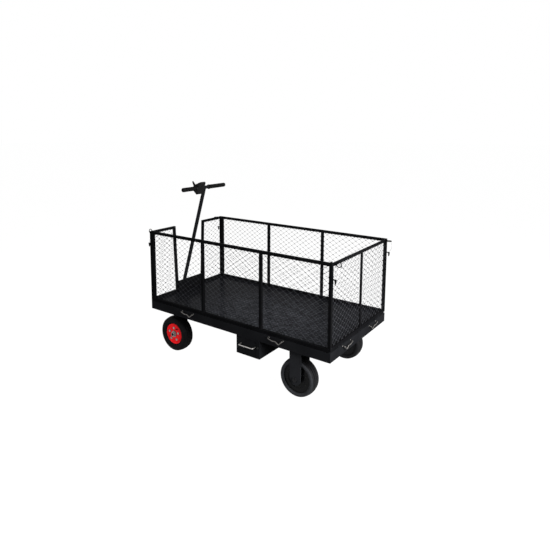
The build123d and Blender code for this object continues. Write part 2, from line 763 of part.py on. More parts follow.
with BuildPart() as control_head:
    with BuildSketch(handle_plane.offset(head_center - head_width / 2)):
        with Locations((0, handle_length)):
            Polygon((-17, 44), panel_high, panel_low_edge, (31, -27), (-14, -50), align=None)
    extrude(amount=head_width)
    fillet(control_head.edges().filter_by(Axis.Y), 5)
    fillet(control_head.faces().sort_by(Axis.Y)[0].edges(), 3)
    fillet(control_head.faces().sort_by(Axis.Y)[-1].edges(), 3)
    with BuildSketch(Plane(on_handle(0, handle_length), x_dir=(0, -1, 0), z_dir=outward)):
        Polygon(
            (shoulder_start, panel_high[1]),
            (shoulder_start + head_width, panel_high[1]),
            (shoulder_start + head_width, panel_high[1] - head_width * tan(radians(shoulder_slope))),
            align=None,
        )
    extrude(amount=head_width, both=True, mode=Mode.SUBTRACT)
    with BuildSketch(panel):
        with Locations(key_place):
            Circle(lock_radius)
    extrude(amount=lock_height)
    with BuildSketch(panel):
        with Locations(gauge_place):
            Rectangle(gauge_size[0] + 2 * slide_gap, gauge_size[1] + 2 * slide_gap)
    extrude(amount=-gauge_depth, mode=Mode.SUBTRACT)
    with BuildSketch(panel):
        with Locations(rocker_place):
            Rectangle(*rocker_pocket)
    extrude(amount=-rocker_depth, mode=Mode.SUBTRACT)
    with BuildSketch(panel):
        with Locations(horn_place):
            Circle(horn_radius + slide_gap)
    extrude(amount=-horn_depth, mode=Mode.SUBTRACT)
    with BuildSketch(panel.offset(lock_height)):
        with Locations(key_place):
            Circle(key_shank_radius + shaft_gap)
    extrude(amount=-4 * lock_height, mode=Mode.SUBTRACT)
    with BuildSketch(rocker_side):
        with Locations((0, -rocker_pin_depth)):
            Circle(rocker_pin_radius + shaft_gap)
    extrude(amount=rocker_pocket[0] / 2 + 3, both=True, mode=Mode.SUBTRACT)
    with BuildSketch(handle_plane):
        with Locations((0, handle_length)):
            Circle(bar_radius + weld_gap)
    extrude(amount=2 * head_width, both=True, mode=Mode.SUBTRACT)
finish(control_head, "control_head")

with BuildPart() as gauge_lens:
    with BuildSketch(panel.offset(-gauge_depth)):
        with Locations(gauge_place):
            Rectangle(*gauge_size)
    extrude(amount=gauge_depth + 1.2)
    chamfer(gauge_lens.faces().sort_by(Axis(panel_middle, panel_normal))[-1].edges(), 1)
finish(gauge_lens, "gauge_lens")

with BuildPart() as ignition_key:
    with BuildSketch(panel.offset(lock_height)):
        with Locations(key_place):
            Circle(key_shank_radius)
    extrude(amount=-2 * lock_height)
    with BuildSketch(panel.offset(lock_height)):
        with Locations(key_place):
            Rectangle(key_sheet, 2 * key_shank_radius)
    extrude(amount=4)
    with BuildSketch(panel.offset(lock_height + 3)):
        with Locations(key_place):
            RectangleRounded(key_sheet, 16, 0.45 * key_sheet)
    extrude(amount=9)
finish(ignition_key, "ignition_key")

with BuildPart() as direction_rocker:
    with BuildSketch(rocker_side):
        half = rocker_size[1] / 2
        Polygon((-half, 4), (0, 1.5), (half, 4), (half - 2, -8), (2 - half, -8), align=None)
    extrude(amount=rocker_size[0] / 2, both=True)
    with BuildSketch(rocker_side):
        with Locations((0, -rocker_pin_depth)):
            Circle(rocker_pin_radius)
    extrude(amount=rocker_pocket[0] / 2 + 2.5, both=True)
finish(direction_rocker, "direction_rocker")

with BuildPart() as horn_button:
    with BuildSketch(panel.offset(horn_travel + 1 - horn_depth)):
        with Locations(horn_place):
            Circle(horn_radius)
    extrude(amount=horn_depth - horn_travel - 1 + horn_rise)
    chamfer(horn_button.faces().sort_by(Axis(panel_middle, panel_normal))[-1].edges(), 1.2)
finish(horn_button, "horn_button")

# Thumb throttle: a ring on the T-bar beside the head, with a curved blade that stands up
throttle_y = head_center - head_width / 2 - throttle_clearance - throttle_width
with BuildPart() as throttle_lever:
    with BuildSketch(handle_plane.offset(throttle_y)):
        with Locations((0, handle_length)):
            Circle(throttle_ring_radius)
            with Locations(Location((0, 0, 0), (0, 0, throttle_rise))):
                Polygon((10, -8), (throttle_reach, -3), (throttle_reach, 1), (10, 10), align=None)
            Circle(bar_radius + shaft_gap, mode=Mode.SUBTRACT)
    extrude(amount=throttle_width)
    fillet(throttle_lever.edges().filter_by(Axis.Y).group_by(Axis((0, 0, 0), outward))[-1], 1.2)
finish(throttle_lever, "throttle_lever")

# Battery box under the near rail: a sheet housing, angle runners, and the drawer that slides out
box_low = frame_clearance - box_height
box_middle_z = frame_clearance - box_height / 2
front_plane = Plane.XZ.offset(half_width)
mouth_width = box_width - box_tail_lip - box_lip
mouth_x = box_x + (box_lip - box_tail_lip) / 2
mouth_height = box_height - 2 * box_lip
with BuildPart() as battery_housing:
    with BuildSketch(front_plane):
        with Locations((box_x, box_middle_z)):
            Rectangle(box_width, box_height)
    extrude(amount=-box_depth)
    with BuildSketch(front_plane.offset(-box_sheet)):
        with Locations((box_x, box_middle_z)):
            Rectangle(box_width - 2 * box_sheet, box_height - 2 * box_sheet)
    extrude(amount=-(box_depth - 2 * box_sheet), mode=Mode.SUBTRACT)
    with BuildSketch(front_plane):
        with Locations((mouth_x, box_middle_z)):
            Rectangle(mouth_width, mouth_height)
    extrude(amount=-box_sheet, mode=Mode.SUBTRACT)
finish(battery_housing, "battery_housing")

tray_width = mouth_width - 2 * drawer_gap
tray_low = box_low + box_lip + drawer_floor_rise
runner_top = tray_low - slide_gap
runner_overlap = 8.0
with BuildPart() as drawer_runners:
    for turn in (-1, 1):
        wall_x = box_x + turn * (box_width / 2 - box_sheet)
        runner_reach = abs(wall_x - mouth_x) - tray_width / 2 + runner_overlap
        with BuildSketch(front_plane.offset(-2 * box_sheet)):
            with Locations((wall_x - turn * runner_reach / 2, runner_top - runner_sheet / 2)):
                Rectangle(runner_reach, runner_sheet)
            with Locations((wall_x - turn * runner_sheet / 2, runner_top - runner_sheet + runner_height / 2)):
                Rectangle(runner_sheet, runner_height)
        extrude(amount=-(box_depth - 4 * box_sheet))
finish(drawer_runners, "drawer_runners")

face_height = mouth_height - 2 * drawer_gap
with BuildPart() as drawer_tray:
    with BuildSketch(front_plane.offset(-drawer_face_setback)):
        with Locations((mouth_x, box_middle_z)):
            Rectangle(tray_width, face_height)
    extrude(amount=-drawer_sheet)
    with BuildSketch(Plane.XY.offset(tray_low)):
        with Locations((mouth_x, -half_width + drawer_face_setback + drawer_depth / 2)):
            Rectangle(tray_width, drawer_depth)
    extrude(amount=drawer_tray_height)
    with BuildSketch(Plane.XY.offset(tray_low + drawer_sheet)):
        with Locations((mouth_x, -half_width + drawer_face_setback + drawer_depth / 2)):
            Rectangle(tray_width - 2 * drawer_sheet, drawer_depth - 2 * drawer_sheet)
    extrude(amount=drawer_tray_height, mode=Mode.SUBTRACT)
finish(drawer_tray, "drawer_tray")

drawer_face_y = -half_width + drawer_face_setback
pull_start = (mouth_x + pull_shift - pull_length / 2, drawer_face_y, box_low + pull_height)
pull_corners = [(0, 0, 0), (0, 0, pull_standoff), (pull_length, 0, pull_standoff), (pull_length, 0, 0)]
with BuildPart() as drawer_handle:
    with BuildLine(Plane(pull_start, (1, 0, 0), (0, -1, 0))) as pull_line:
        FilletPolyline(*pull_corners, radius=pull_bend)
    with BuildSketch(Plane(pull_line.line @ 0, z_dir=pull_line.line % 0)):
        Circle(pull_wire / 2)
    sweep()
finish(drawer_handle, "drawer_handle")

with BuildPart() as battery_pack:
    with BuildSketch(Plane.XY.offset(tray_low + drawer_sheet)):
        with Locations((mouth_x, -half_width + drawer_face_setback + drawer_depth / 2)):
            RectangleRounded(battery_size[0], battery_size[1], 8)
    extrude(amount=battery_size[2])
    chamfer(battery_pack.faces().sort_by(Axis.Z)[-1].edges(), 3)
finish(battery_pack, "battery_pack")

# Motor controller: a finned aluminium box hung under the frame
controller_low = frame_clearance - controller_size[2]
fin_count = int(controller_size[1] / controller_fin_pitch)
with BuildPart() as controller:
    with BuildSketch(Plane.XY.offset(frame_clearance)):
        with Locations((controller_x, 0)):
            RectangleRounded(controller_size[0], controller_size[1], 5)
    extrude(amount=controller_fin_height - controller_size[2])
    with BuildSketch(Plane.XY.offset(controller_low + controller_fin_height)):
        with Locations((controller_x, 0)):
            with GridLocations(1, controller_fin_pitch, 1, fin_count):
                Rectangle(controller_size[0] - 12, controller_fin)
    extrude(amount=-controller_fin_height)
finish(controller, "controller")


# Mesh: two layers of slanting strands that cross in diamonds, cut to each window of a panel
def mesh_panel(plane, windows):
    """Fill windows, each a list of corners in the plane, with strands that end on the frame."""
    slant = degrees(atan2(diamond_height, diamond_width))
    with BuildPart() as mesh:
        for corners in windows:
            across = [corner[0] for corner in corners]
            up = [corner[1] for corner in corners]
            middle = ((min(across) + max(across)) / 2, (min(up) + max(up)) / 2)
            width = max(across) - min(across)
            height = max(up) - min(up)
            count = ceil((width + height / tan(radians(slant))) / diamond_width) + 1
            reach = 2 * (width + height)
            for layer in (-1, 1):
                with BuildSketch(plane.offset(layer * weld_gap / 4)) as strands:
                    with Locations(middle):
                        with GridLocations(diamond_width, 1, count, 1):
                            Rectangle(reach, strand_width, rotation=layer * slant)
                    Polygon(*corners, align=None, mode=Mode.INTERSECT)
                extrude(amount=layer * strand_thickness)
    return mesh


# Side panels: three bays of mesh in a welded frame on pegs that drop into the frame rail
side_middle = half_width - tube / 2
side_windows = []
for left in post_stations[:-1]:
    start = left + tube / 2
    end = start + bay
    low, high = side_window_low, window_high
    side_windows.append([(start, low), (end, low), (end, high), (start, high)])

lug_start = -half_width + tube - weld_gap
lug_end = -pin_y + lug_slot_radius + lug_margin
lug_low = pin_z - lug_drop
with BuildPart() as side_frame:
    with BuildSketch(Plane.XZ.offset(half_width - tube)):
        with Locations(((side_handle_end + side_tail_end) / 2, (side_low + cage_top) / 2)):
            Rectangle(side_length, cage_top - side_low)
        for corners in side_windows:
            Polygon(*corners, align=None, mode=Mode.SUBTRACT)
        for x, width in zip(post_stations, post_widths):
            with Locations((x, (rail_top + side_low) / 2)):
                Rectangle(width, side_low - rail_top)
    extrude(amount=tube)
    with BuildSketch(Plane.XY.offset(rail_top)):
        with Locations(*[(x, -side_middle) for x in post_stations]):
            Rectangle(peg, peg)
    extrude(amount=-peg_length)
    for lug_x in (side_tail_end - lug_setback - lug_thickness, side_handle_end + lug_setback):
        with BuildSketch(Plane.YZ.offset(lug_x)):
            with Locations(((lug_start + lug_end) / 2, (cage_top + lug_low) / 2)):
                Rectangle(lug_end - lug_start, cage_top - lug_low)
            with Locations((-pin_y, pin_z)):
                Circle(lug_slot_radius, mode=Mode.SUBTRACT)
            with Locations((-pin_y, (pin_z + lug_low) / 2)):
                Rectangle(2 * lug_slot_radius, lug_drop, mode=Mode.SUBTRACT)
        extrude(amount=lug_thickness)
finish_pair(side_frame, "side_frame")
finish_pair(mesh_panel(Plane.XZ.offset(side_middle), side_windows), "side_mesh")

# Hinges of the tail panel: lower leaf, outer knuckles and pin on the deck, the rest on the panel
hinge_z = deck_top + panel_gap / 2
knuckle = hinge_width / 3
low_leaf_height = plate_thickness + hinge_leaf
hinge_middles = [hinge_spacing * (i - (hinge_count - 1) / 2) for i in range(hinge_count)]
with BuildPart() as tail_hinges:
    for y in hinge_middles:
        with BuildSketch(Plane.XZ.offset(-y)):
            with Locations((leaf_edge - hinge_leaf_depth / 2, rail_top + low_leaf_height / 2)):
                Rectangle(hinge_leaf_depth, low_leaf_height)
            with Locations((hinge_x, hinge_z)):
                Circle(hinge_pin_radius)
        extrude(amount=hinge_width / 2, both=True)
        for turn in (-1, 1):
            with BuildSketch(Plane.XZ.offset(-y + turn * hinge_width / 2)):
                with Locations((hinge_x, hinge_z)):
                    Circle(knuckle_radius)
                with Locations(((leaf_edge + hinge_x) / 2, rail_top + low_leaf_height / 2)):
                    Rectangle(hinge_x - leaf_edge, low_leaf_height)
            extrude(amount=-turn * (knuckle - slide_gap))
finish(tail_hinges, "tail_hinges")


# Keeper: a small hook on an end panel's post that holds the pin's lanyard
def keeper_corners(face, turn):
    top = pin_z - keeper_drop
    arm_low = top - keeper_arm
    tip = top - keeper_hook
    tip_middle = keeper_reach - keeper_root / 2 - 1
    return [
        (face, top),
        (face + turn * keeper_reach, top),
        (face + turn * keeper_reach, arm_low),
        (face + turn * (tip_middle + keeper_tip / 2), tip),
        (face + turn * (tip_middle - keeper_tip / 2), tip),
        (face + turn * (keeper_reach - keeper_root), arm_low),
        (face, arm_low),
    ]


# Tail panel: two bays of mesh in flat tube, with a bar along its foot that is hinged to the deck
tail_windows = []
for turn in (-1, 1):
    near, far = turn * tube / 2, turn * (half_width - tube)
    tail_windows.append([(near, window_low), (far, window_low), (far, window_high), (near, window_high)])

with BuildPart() as tail_frame:
    with BuildSketch(Plane.YZ.offset(tail_end - slim)):
        with Locations((0, (panel_low + weld_gap + cage_top) / 2)):
            Rectangle(deck_width, cage_top - panel_low - weld_gap)
        for corners in tail_windows:
            Polygon(*corners, align=None, mode=Mode.SUBTRACT)
        with Locations((-pin_y, pin_z), (pin_y, pin_z)):
            Circle(pin_radius + shaft_gap, mode=Mode.SUBTRACT)
    extrude(amount=slim)
    with BuildSketch(Plane.YZ.offset(tail_end - tube)):
        with Locations((0, panel_low + tube / 2)):
            Rectangle(deck_width - 2 * (tube + corner_gap), tube)
    extrude(amount=tube - slim - weld_gap)
    for y in hinge_middles:
        with BuildSketch(Plane.XZ.offset(-y)):
            with Locations((leaf_edge - hinge_leaf_depth / 2, panel_low - hinge_leaf / 2)):
                Rectangle(hinge_leaf_depth, hinge_leaf)
        extrude(amount=hinge_width / 2, both=True)
        with BuildSketch(Plane.XZ.offset(-y)):
            with Locations((hinge_x, hinge_z)):
                Circle(knuckle_radius)
            with Locations(((leaf_edge + hinge_x) / 2, panel_low - hinge_leaf / 2)):
                Rectangle(hinge_x - leaf_edge, hinge_leaf)
            with Locations((hinge_x, hinge_z)):
                Circle(hinge_pin_radius + shaft_gap, mode=Mode.SUBTRACT)
        extrude(amount=knuckle / 2 - slide_gap, both=True)
    for y in (-side_middle, side_middle):
        with BuildSketch(Plane.XZ.offset(-y)):
            Polygon(*keeper_corners(tail_end, 1), align=None)
        extrude(amount=keeper_thickness / 2, both=True)
finish(tail_frame, "tail_frame")

tail_mesh = mesh_panel(Plane.YZ.offset(tail_end - slim / 2), tail_windows)
finish(tail_mesh, "tail_mesh")


# Handle end: two short panels with slanting inner posts, and a low board between them
def slant_y(z):
    """The inner face of a short panel's slanting post at a height."""
    share = (z - deck_top) / (cage_top - deck_top)
    return -(stub_low_half_gap + share * (stub_top_half_gap - stub_low_half_gap))


post_slant = atan2(stub_top_half_gap - stub_low_half_gap, cage_height)
slant_tube = tube / cos(post_slant)
stub_edge = -half_width + tube
stub_window = [
    (stub_edge, stub_window_low),
    (slant_y(stub_window_low) - slant_tube, stub_window_low),
    (slant_y(window_high) - slant_tube, window_high),
    (stub_edge, window_high),
]
with BuildPart() as stub_frame:
    with BuildSketch(Plane.YZ.offset(handle_end)):
        Polygon(
            (-half_width, rail_top),
            (slant_y(rail_top), rail_top),
            (slant_y(cage_top), cage_top),
            (-half_width, cage_top),
            align=None,
        )
        Polygon(*stub_window, align=None, mode=Mode.SUBTRACT)
        Polygon(
            (stub_edge, rail_top),
            (slant_y(rail_top) - slant_tube, rail_top),
            (slant_y(stub_low) - slant_tube, stub_low),
            (stub_edge, stub_low),
            align=None,
            mode=Mode.SUBTRACT,
        )
        with Locations((-pin_y, pin_z)):
            Circle(pin_radius + shaft_gap, mode=Mode.SUBTRACT)
    extrude(amount=tube)
    with BuildSketch(Plane.XZ.offset(side_middle)):
        Polygon(*keeper_corners(handle_end, -1), align=None)
    extrude(amount=keeper_thickness / 2, both=True)
finish_pair(stub_frame, "stub_frame")
finish_pair(mesh_panel(Plane.YZ.offset(handle_end + tube / 2), [stub_window]), "stub_mesh")

board_top = deck_top + board_height
with BuildPart() as front_board:
    with BuildSketch(Plane.XZ):
        with BuildLine():
            Polyline(
                (board_face, rail_top),
                (board_face, board_top - board_hem),
                (board_face - board_thickness, board_top - board_hem),
                (board_face - board_thickness, board_top),
                (board_face + board_thickness, board_top),
                (board_face + board_thickness, rail_top),
                close=True,
            )
        make_face()
    extrude(amount=stub_low_half_gap + board_overlap, both=True)
finish(front_board, "front_board")


# Corner pins, drawn for the near side: a pin through the end panel's top rail with a welded pull ring,
# upright or lying flat, and a wire lanyard from the ring down to the keeper
def ring_place(face, turn):
    return face + turn * (slide_gap + pin_head_length + ring_radius - 0.6 * ring_wire)


def corner_pin(face, turn, rail_depth, flat):
    tip = face - turn * (rail_depth + corner_gap + pin_engagement)
    head = face + turn * slide_gap
    ring_center = (ring_place(face, turn), -pin_y, pin_z)
    ring_normal = (0, 0, 1) if flat else (0, 1, 0)
    ring_section = Plane(ring_center, x_dir=(1, 0, 0), z_dir=(0, 1, 0) if flat else (0, 0, 1))
    pin_axis = Plane((tip, -pin_y, pin_z), x_dir=(0, 1, 0), z_dir=(turn, 0, 0))
    with BuildPart() as pin:
        with BuildSketch(pin_axis):
            Circle(pin_radius)
        extrude(amount=abs(head - tip))
        chamfer(pin.faces().sort_by(Axis.X, reverse=turn < 0)[0].edges(), 1.5)
        with BuildSketch(Plane((head, -pin_y, pin_z), x_dir=(0, 1, 0), z_dir=(turn, 0, 0))):
            Circle(pin_head_radius)
        extrude(amount=pin_head_length)
        with BuildSketch(ring_section):
            with Locations((ring_radius, 0)):
                Circle(ring_wire)
        revolve(axis=Axis(ring_center, ring_normal))
    return pin


def lanyard_route(face, turn, flat):
    start_x = ring_place(face, turn) + (turn * ring_radius if flat else 0)
    start_z = pin_z - ring_wire - slide_gap - (0 if flat else ring_radius)
    keeper_top = pin_z - keeper_drop
    drop = start_z - keeper_top
    return [
        (start_x, -pin_y, start_z),
        (start_x + turn * 3, -pin_y - 4, start_z - 0.35 * drop),
        (start_x + turn * 1, -pin_y - 12, start_z - 0.7 * drop),
        (face + turn * (keeper_reach - 8), -side_middle + 1, keeper_top + 2 * lanyard_radius),
    ]


def run_length(a, b):
    return (Vector(*b) - Vector(*a)).length


def lanyard(face, turn, flat):
    route = lanyard_route(face, turn, flat)
    radii = []
    for before, corner, after in zip(route, route[1:], route[2:]):
        bend = (Vector(*corner) - Vector(*before)).get_angle(Vector(*after) - Vector(*corner))
        run = min(run_length(before, corner), run_length(corner, after))
        radii.append(0.45 * run / tan(radians(bend) / 2))
    with BuildPart() as wire:
        with BuildLine() as wire_line:
            FilletPolyline(*route, radius=radii)
        with BuildSketch(Plane(wire_line.line @ 0, z_dir=wire_line.line % 0)):
            Circle(lanyard_radius)
        sweep()
    return wire


for end_name, face, turn, rail_depth in (("tail", tail_end, 1, slim), ("handle", handle_end, -1, tube)):
    finish(corner_pin(face, turn, rail_depth, False), f"{end_name}_pin_near")
    finish_far(corner_pin(face, turn, rail_depth, True), f"{end_name}_pin")
    finish(lanyard(face, turn, False), f"{end_name}_lanyard_near")
    finish_far(lanyard(face, turn, True), f"{end_name}_lanyard")
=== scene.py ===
"""Electric platform cart with a mesh cage, dressed for a plain white studio. Lengths are in metres."""

import json
import math

import bmesh
import bpy
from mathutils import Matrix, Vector


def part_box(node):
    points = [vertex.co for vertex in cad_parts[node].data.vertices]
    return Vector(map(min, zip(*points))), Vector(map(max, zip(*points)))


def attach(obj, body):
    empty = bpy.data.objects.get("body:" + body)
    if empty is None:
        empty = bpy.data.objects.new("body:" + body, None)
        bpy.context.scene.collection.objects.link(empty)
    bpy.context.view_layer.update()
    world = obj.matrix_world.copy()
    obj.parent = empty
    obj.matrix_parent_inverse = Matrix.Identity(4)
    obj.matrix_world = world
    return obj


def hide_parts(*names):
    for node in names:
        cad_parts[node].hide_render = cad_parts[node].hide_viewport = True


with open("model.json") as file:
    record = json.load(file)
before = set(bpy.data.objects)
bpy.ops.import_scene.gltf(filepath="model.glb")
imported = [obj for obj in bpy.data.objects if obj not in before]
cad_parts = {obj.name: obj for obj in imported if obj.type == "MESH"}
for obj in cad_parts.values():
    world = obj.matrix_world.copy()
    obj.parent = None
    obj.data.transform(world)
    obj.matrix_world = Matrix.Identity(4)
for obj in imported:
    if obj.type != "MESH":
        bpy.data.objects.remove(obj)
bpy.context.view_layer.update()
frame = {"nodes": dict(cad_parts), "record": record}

# Places on the cart that the added pieces share
TUBE, SLIM = 0.018, 0.009  # width of the cage's tubes, and of the slim ones at its tail
SIDES = (("near", -1.0), ("far", 1.0))
deck_low, deck_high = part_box("deck_plate")
rail_low, rail_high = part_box("frame_rails")
side_window_low, side_window_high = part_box("side_mesh_near")
tail_window_low, tail_window_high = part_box("tail_mesh")
stub_window_low, stub_window_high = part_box("stub_mesh_near")


def middle(node):
    low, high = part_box(node)
    return (low + high) / 2


def put(name, data):
    """A new object in the scene that shows the data."""
    obj = bpy.data.objects.new(name, data)
    bpy.context.scene.collection.objects.link(obj)
    return obj


def aim(obj, direction):
    """Turn a camera or a light to look along a direction."""
    obj.rotation_euler = direction.to_track_quat("-Z", "Y").to_euler()


# Materials
EDGE_SAMPLES = 4
WORN_EDGE = 0.0005


class Graph:
    """A node material under construction."""

    def __init__(self, name):
        self.material = bpy.data.materials.new(name)
        self.material.use_nodes = True
        self.tree = self.material.node_tree
        self.shader = self.tree.nodes["Principled BSDF"]
        self.place = self.node("ShaderNodeTexCoord").outputs["Object"]

    def feed(self, socket, value):
        """Link a socket to an output, or give it a value of its own."""
        if isinstance(value, bpy.types.NodeSocket):
            self.tree.links.new(value, socket)
        else:
            socket.default_value = value

    def node(self, kind, settings=None, **inputs):
        made = self.tree.nodes.new(kind)
        for key, value in (settings or {}).items():
            setattr(made, key, value)
        for key, value in inputs.items():
            self.feed(made.inputs[key.replace("_", " ")], value)
        return made

    def set(self, **inputs):
        """Feed the shader's own sockets."""
        for key, value in inputs.items():
            self.feed(self.shader.inputs[key.replace("_", " ")], value)

    def noise(self, scale, detail=3.0, rough=0.55):
        made = self.node("ShaderNodeTexNoise", Vector=self.place, Scale=scale, Detail=detail, Roughness=rough)
        return made.outputs["Fac"]

    def ramp(self, factor, stops):
        made = self.node("ShaderNodeValToRGB", Fac=factor)
        ramp = made.color_ramp
        while len(ramp.elements) < len(stops):
            ramp.elements.new(0.5)
        for element, (position, colour) in zip(ramp.elements, stops):
            element.position = position
            element.color = (*colour, 1.0)
        return made.outputs["Color"]

    def spread(self, factor, low, high, start=0.25, end=0.75):
        """A value from low to high, for a factor from start to end."""
        made = self.node(
            "ShaderNodeMapRange", Value=factor, From_Min=start, From_Max=end, To_Min=low, To_Max=high
        )
        return made.outputs["Result"]

    def maths(self, operation, first, second=0.0):
        made = self.node("ShaderNodeMath", {"operation": operation})
        for socket, value in zip(made.inputs, (first, second)):
            self.feed(socket, value)
        return made.outputs["Value"]

    def bump(self, height, strength, distance, normal=None):
        made = self.node("ShaderNodeBump", Height=height, Strength=strength, Distance=distance)
        if normal is not None:
            self.feed(made.inputs["Normal"], normal)
        return made.outputs["Normal"]

    def rounded(self, radius):
        """The normal of a surface whose edges are rounded by a radius."""
        return self.node("ShaderNodeBevel", {"samples": EDGE_SAMPLES}, Radius=radius).outputs["Normal"]


def sprayed(name, roughness, specular, peel=(900.0, 0.2, 0.0002), soft=0.0008):
    """Surface of sprayed or powder-coated metal: orange peel, and edges that the paint rounds.

    peel gives the scale, strength and depth of the orange peel, and soft the radius of the edges.
    """
    g = Graph(name)
    peel_scale, peel_strength, peel_depth = peel
    g.set(
        Roughness=g.spread(g.noise(scale=45.0, detail=4.0), *roughness),
        Normal=g.bump(g.noise(peel_scale, detail=2.0), peel_strength, peel_depth, g.rounded(soft)),
        Specular_IOR_Level=specular,
    )
    return g


def painted(name, low, high, roughness, specular, **finish):
    """Sprayed metal with faint clouds in its colour."""
    g = sprayed(name, roughness, specular, **finish)
    g.set(Base_Color=g.ramp(g.noise(scale=7.0, detail=5.0, rough=0.6), [(0.3, low), (0.7, high)]))
    return g


def bare_metal(name, low, high, roughness, grain=(1500.0, 0.25, 0.0001)):
    """Plated or bare steel: fine grain, mottled plating, edges slightly worn round."""
    g = Graph(name)
    grain_scale, grain_strength, grain_depth = grain
    g.set(
        Base_Color=g.ramp(g.noise(scale=160.0, detail=6.0, rough=0.7), [(0.25, low), (0.75, high)]),
        Roughness=g.spread(g.noise(scale=300.0, detail=3.0), *roughness),
        Normal=g.bump(g.noise(grain_scale, detail=2.0), grain_strength, grain_depth, g.rounded(WORN_EDGE)),
        Metallic=1.0,
    )
    return g


def grained(name, roughness, specular, grain=(2200.0, 0.35, 0.0002)):
    """Surface of moulded plastic or rubber; grain gives the scale, strength and depth of its grain."""
    g = Graph(name)
    grain_scale, grain_strength, grain_depth = grain
    g.set(
        Roughness=g.spread(g.noise(scale=120.0, detail=3.0), *roughness),
        Normal=g.bump(g.noise(grain_scale, detail=3.0), grain_strength, grain_depth),
        Specular_IOR_Level=specular,
    )
    return g


def moulded(name, low, high, roughness, specular, **finish):
    """Plastic or rubber with faint mottling in its colour."""
    g = grained(name, roughness, specular, **finish)
    g.set(Base_Color=g.ramp(g.noise(scale=30.0, detail=4.0), [(0.3, low), (0.7, high)]))
    return g


def deck_coat(name, low, high):
    """Black tread plate, lighter in patches along the middle and the near side: a painted sheen where the
    light falls on the plate and reflects.
    """
    g = sprayed(name, roughness=(0.1, 0.26), specular=0.004)
    place = g.node("ShaderNodeSeparateXYZ", Vector=g.place).outputs
    patches = g.spread(g.noise(scale=22.0, detail=6.0, rough=0.7), 0.1, 1.0, start=0.4, end=0.6)
    past_handle = g.spread(place["X"], 0.0, 1.0, start=-0.5, end=-0.15)
    before_tail = g.spread(place["X"], 1.0, 0.2, start=0.28, end=0.65)
    near_side = g.spread(place["Y"], 1.0, 0.05, start=0.0, end=0.3)
    # Painted sheen: lighter towards the middle of the deck and its near side, broken into patches
    painted_sheen = g.maths("MULTIPLY", g.maths("MULTIPLY", past_handle, before_tail), near_side)
    g.set(Base_Color=g.ramp(g.maths("MULTIPLY", patches, painted_sheen), [(0.0, low), (1.0, high)]))
    return g


def solid_rubber(name, centre, half_tread, fade=0.006):
    """Rubber that is mottled grey on the outer sidewalls of the wheels and black elsewhere; the black of the
    inner sidewalls is painted shade.
    """
    g = grained(name, roughness=(0.5, 0.7), specular=0.08)
    across = g.node("ShaderNodeSeparateXYZ", Vector=g.place).outputs["Y"]
    # Only the outer sidewalls turn grey; the inner ones stay black as painted shade
    from_middle = g.maths("SUBTRACT", g.maths("ABSOLUTE", across), centre)
    sidewall = g.spread(from_middle, 0.0, 1.0, start=half_tread, end=half_tread + fade)
    outer_grey_mottle = g.maths("MULTIPLY", sidewall, g.noise(scale=60.0, detail=4.0))
    g.set(Base_Color=g.ramp(outer_grey_mottle, [(0.0, (0.0035, 0.0035, 0.004)), (0.6, (0.018, 0.0188, 0.0212))]))
    return g


# Coats of the CAD's material slots
GRAPHS = {
    "frame_black": painted(
        "powder_coat_black", (0.0055, 0.0057, 0.0065), (0.0088, 0.0091, 0.0102), (0.5, 0.62), 0.003
    ),
    # The deck's lighter colour is its painted sheen
    "deck_paint": deck_coat("deck_coat", (0.0056, 0.0059, 0.007), (0.0208, 0.022, 0.026)),
    "mesh_wire": painted(
        "mesh_coating", (0.026, 0.0265, 0.0295), (0.036, 0.037, 0.041), (0.45, 0.6), 0.0, soft=0.0003
    ),
    "red_paint": painted(
        "rim_red", (0.86, 0.016, 0.02), (0.94, 0.021, 0.026), (0.3, 0.42), 0.02, peel=(700.0, 0.15, 0.0002)
    ),
    "motor_black": painted(
        "motor_casing", (0.0015, 0.0015, 0.0018), (0.0035, 0.0035, 0.004), (0.2, 0.32), 0.08
    ),
    "black_steel": painted(
        "black_oxide", (0.003, 0.003, 0.0034), (0.007, 0.007, 0.008), (0.35, 0.5), 0.12, soft=0.0004
    ),
    "zinc": bare_metal("zinc_plate", (0.13, 0.125, 0.12), (0.36, 0.35, 0.34), (0.35, 0.5)),
    "lanyard_wire": bare_metal("wire_rope", (0.5, 0.5, 0.5), (0.68, 0.68, 0.68), (0.3, 0.45)),
    "key_metal": bare_metal("nickel", (0.55, 0.54, 0.52), (0.7, 0.69, 0.67), (0.15, 0.28)),
    "controller_metal": bare_metal(
        "cast_alloy", (0.3, 0.3, 0.31), (0.42, 0.42, 0.43), (0.4, 0.6), grain=(700.0, 0.4, 0.0004)
    ),
    "tyre": moulded("tyre_rubber", (0.0018, 0.0018, 0.002), (0.0042, 0.0042, 0.0046), (0.6, 0.8), 0.04),
    "solid_tyre": solid_rubber("solid_rubber", centre=0.320, half_tread=0.033),
    "grip_rubber": moulded("grip_rubber", (0.0018, 0.0018, 0.0018), (0.004, 0.004, 0.004), (0.6, 0.8), 0.05),
    "head_plastic": moulded(
        "head_plastic", (0.0018, 0.0018, 0.0018), (0.004, 0.004, 0.0044), (0.45, 0.6), 0.06
    ),
    "lens": moulded(
        "smoked_lens",
        (0.006, 0.007, 0.008),
        (0.011, 0.012, 0.013),
        (0.08, 0.14),
        0.4,
        grain=(2000.0, 0.02, 0.0001),
    ),
    "horn_plastic": moulded("horn_plastic", (0.3, 0.012, 0.012), (0.36, 0.016, 0.016), (0.25, 0.35), 0.4),
    "battery_case": moulded("battery_case", (0.012, 0.012, 0.013), (0.02, 0.02, 0.022), (0.45, 0.6), 0.3),
}
MATERIALS = {slot: graph.material for slot, graph in GRAPHS.items()}
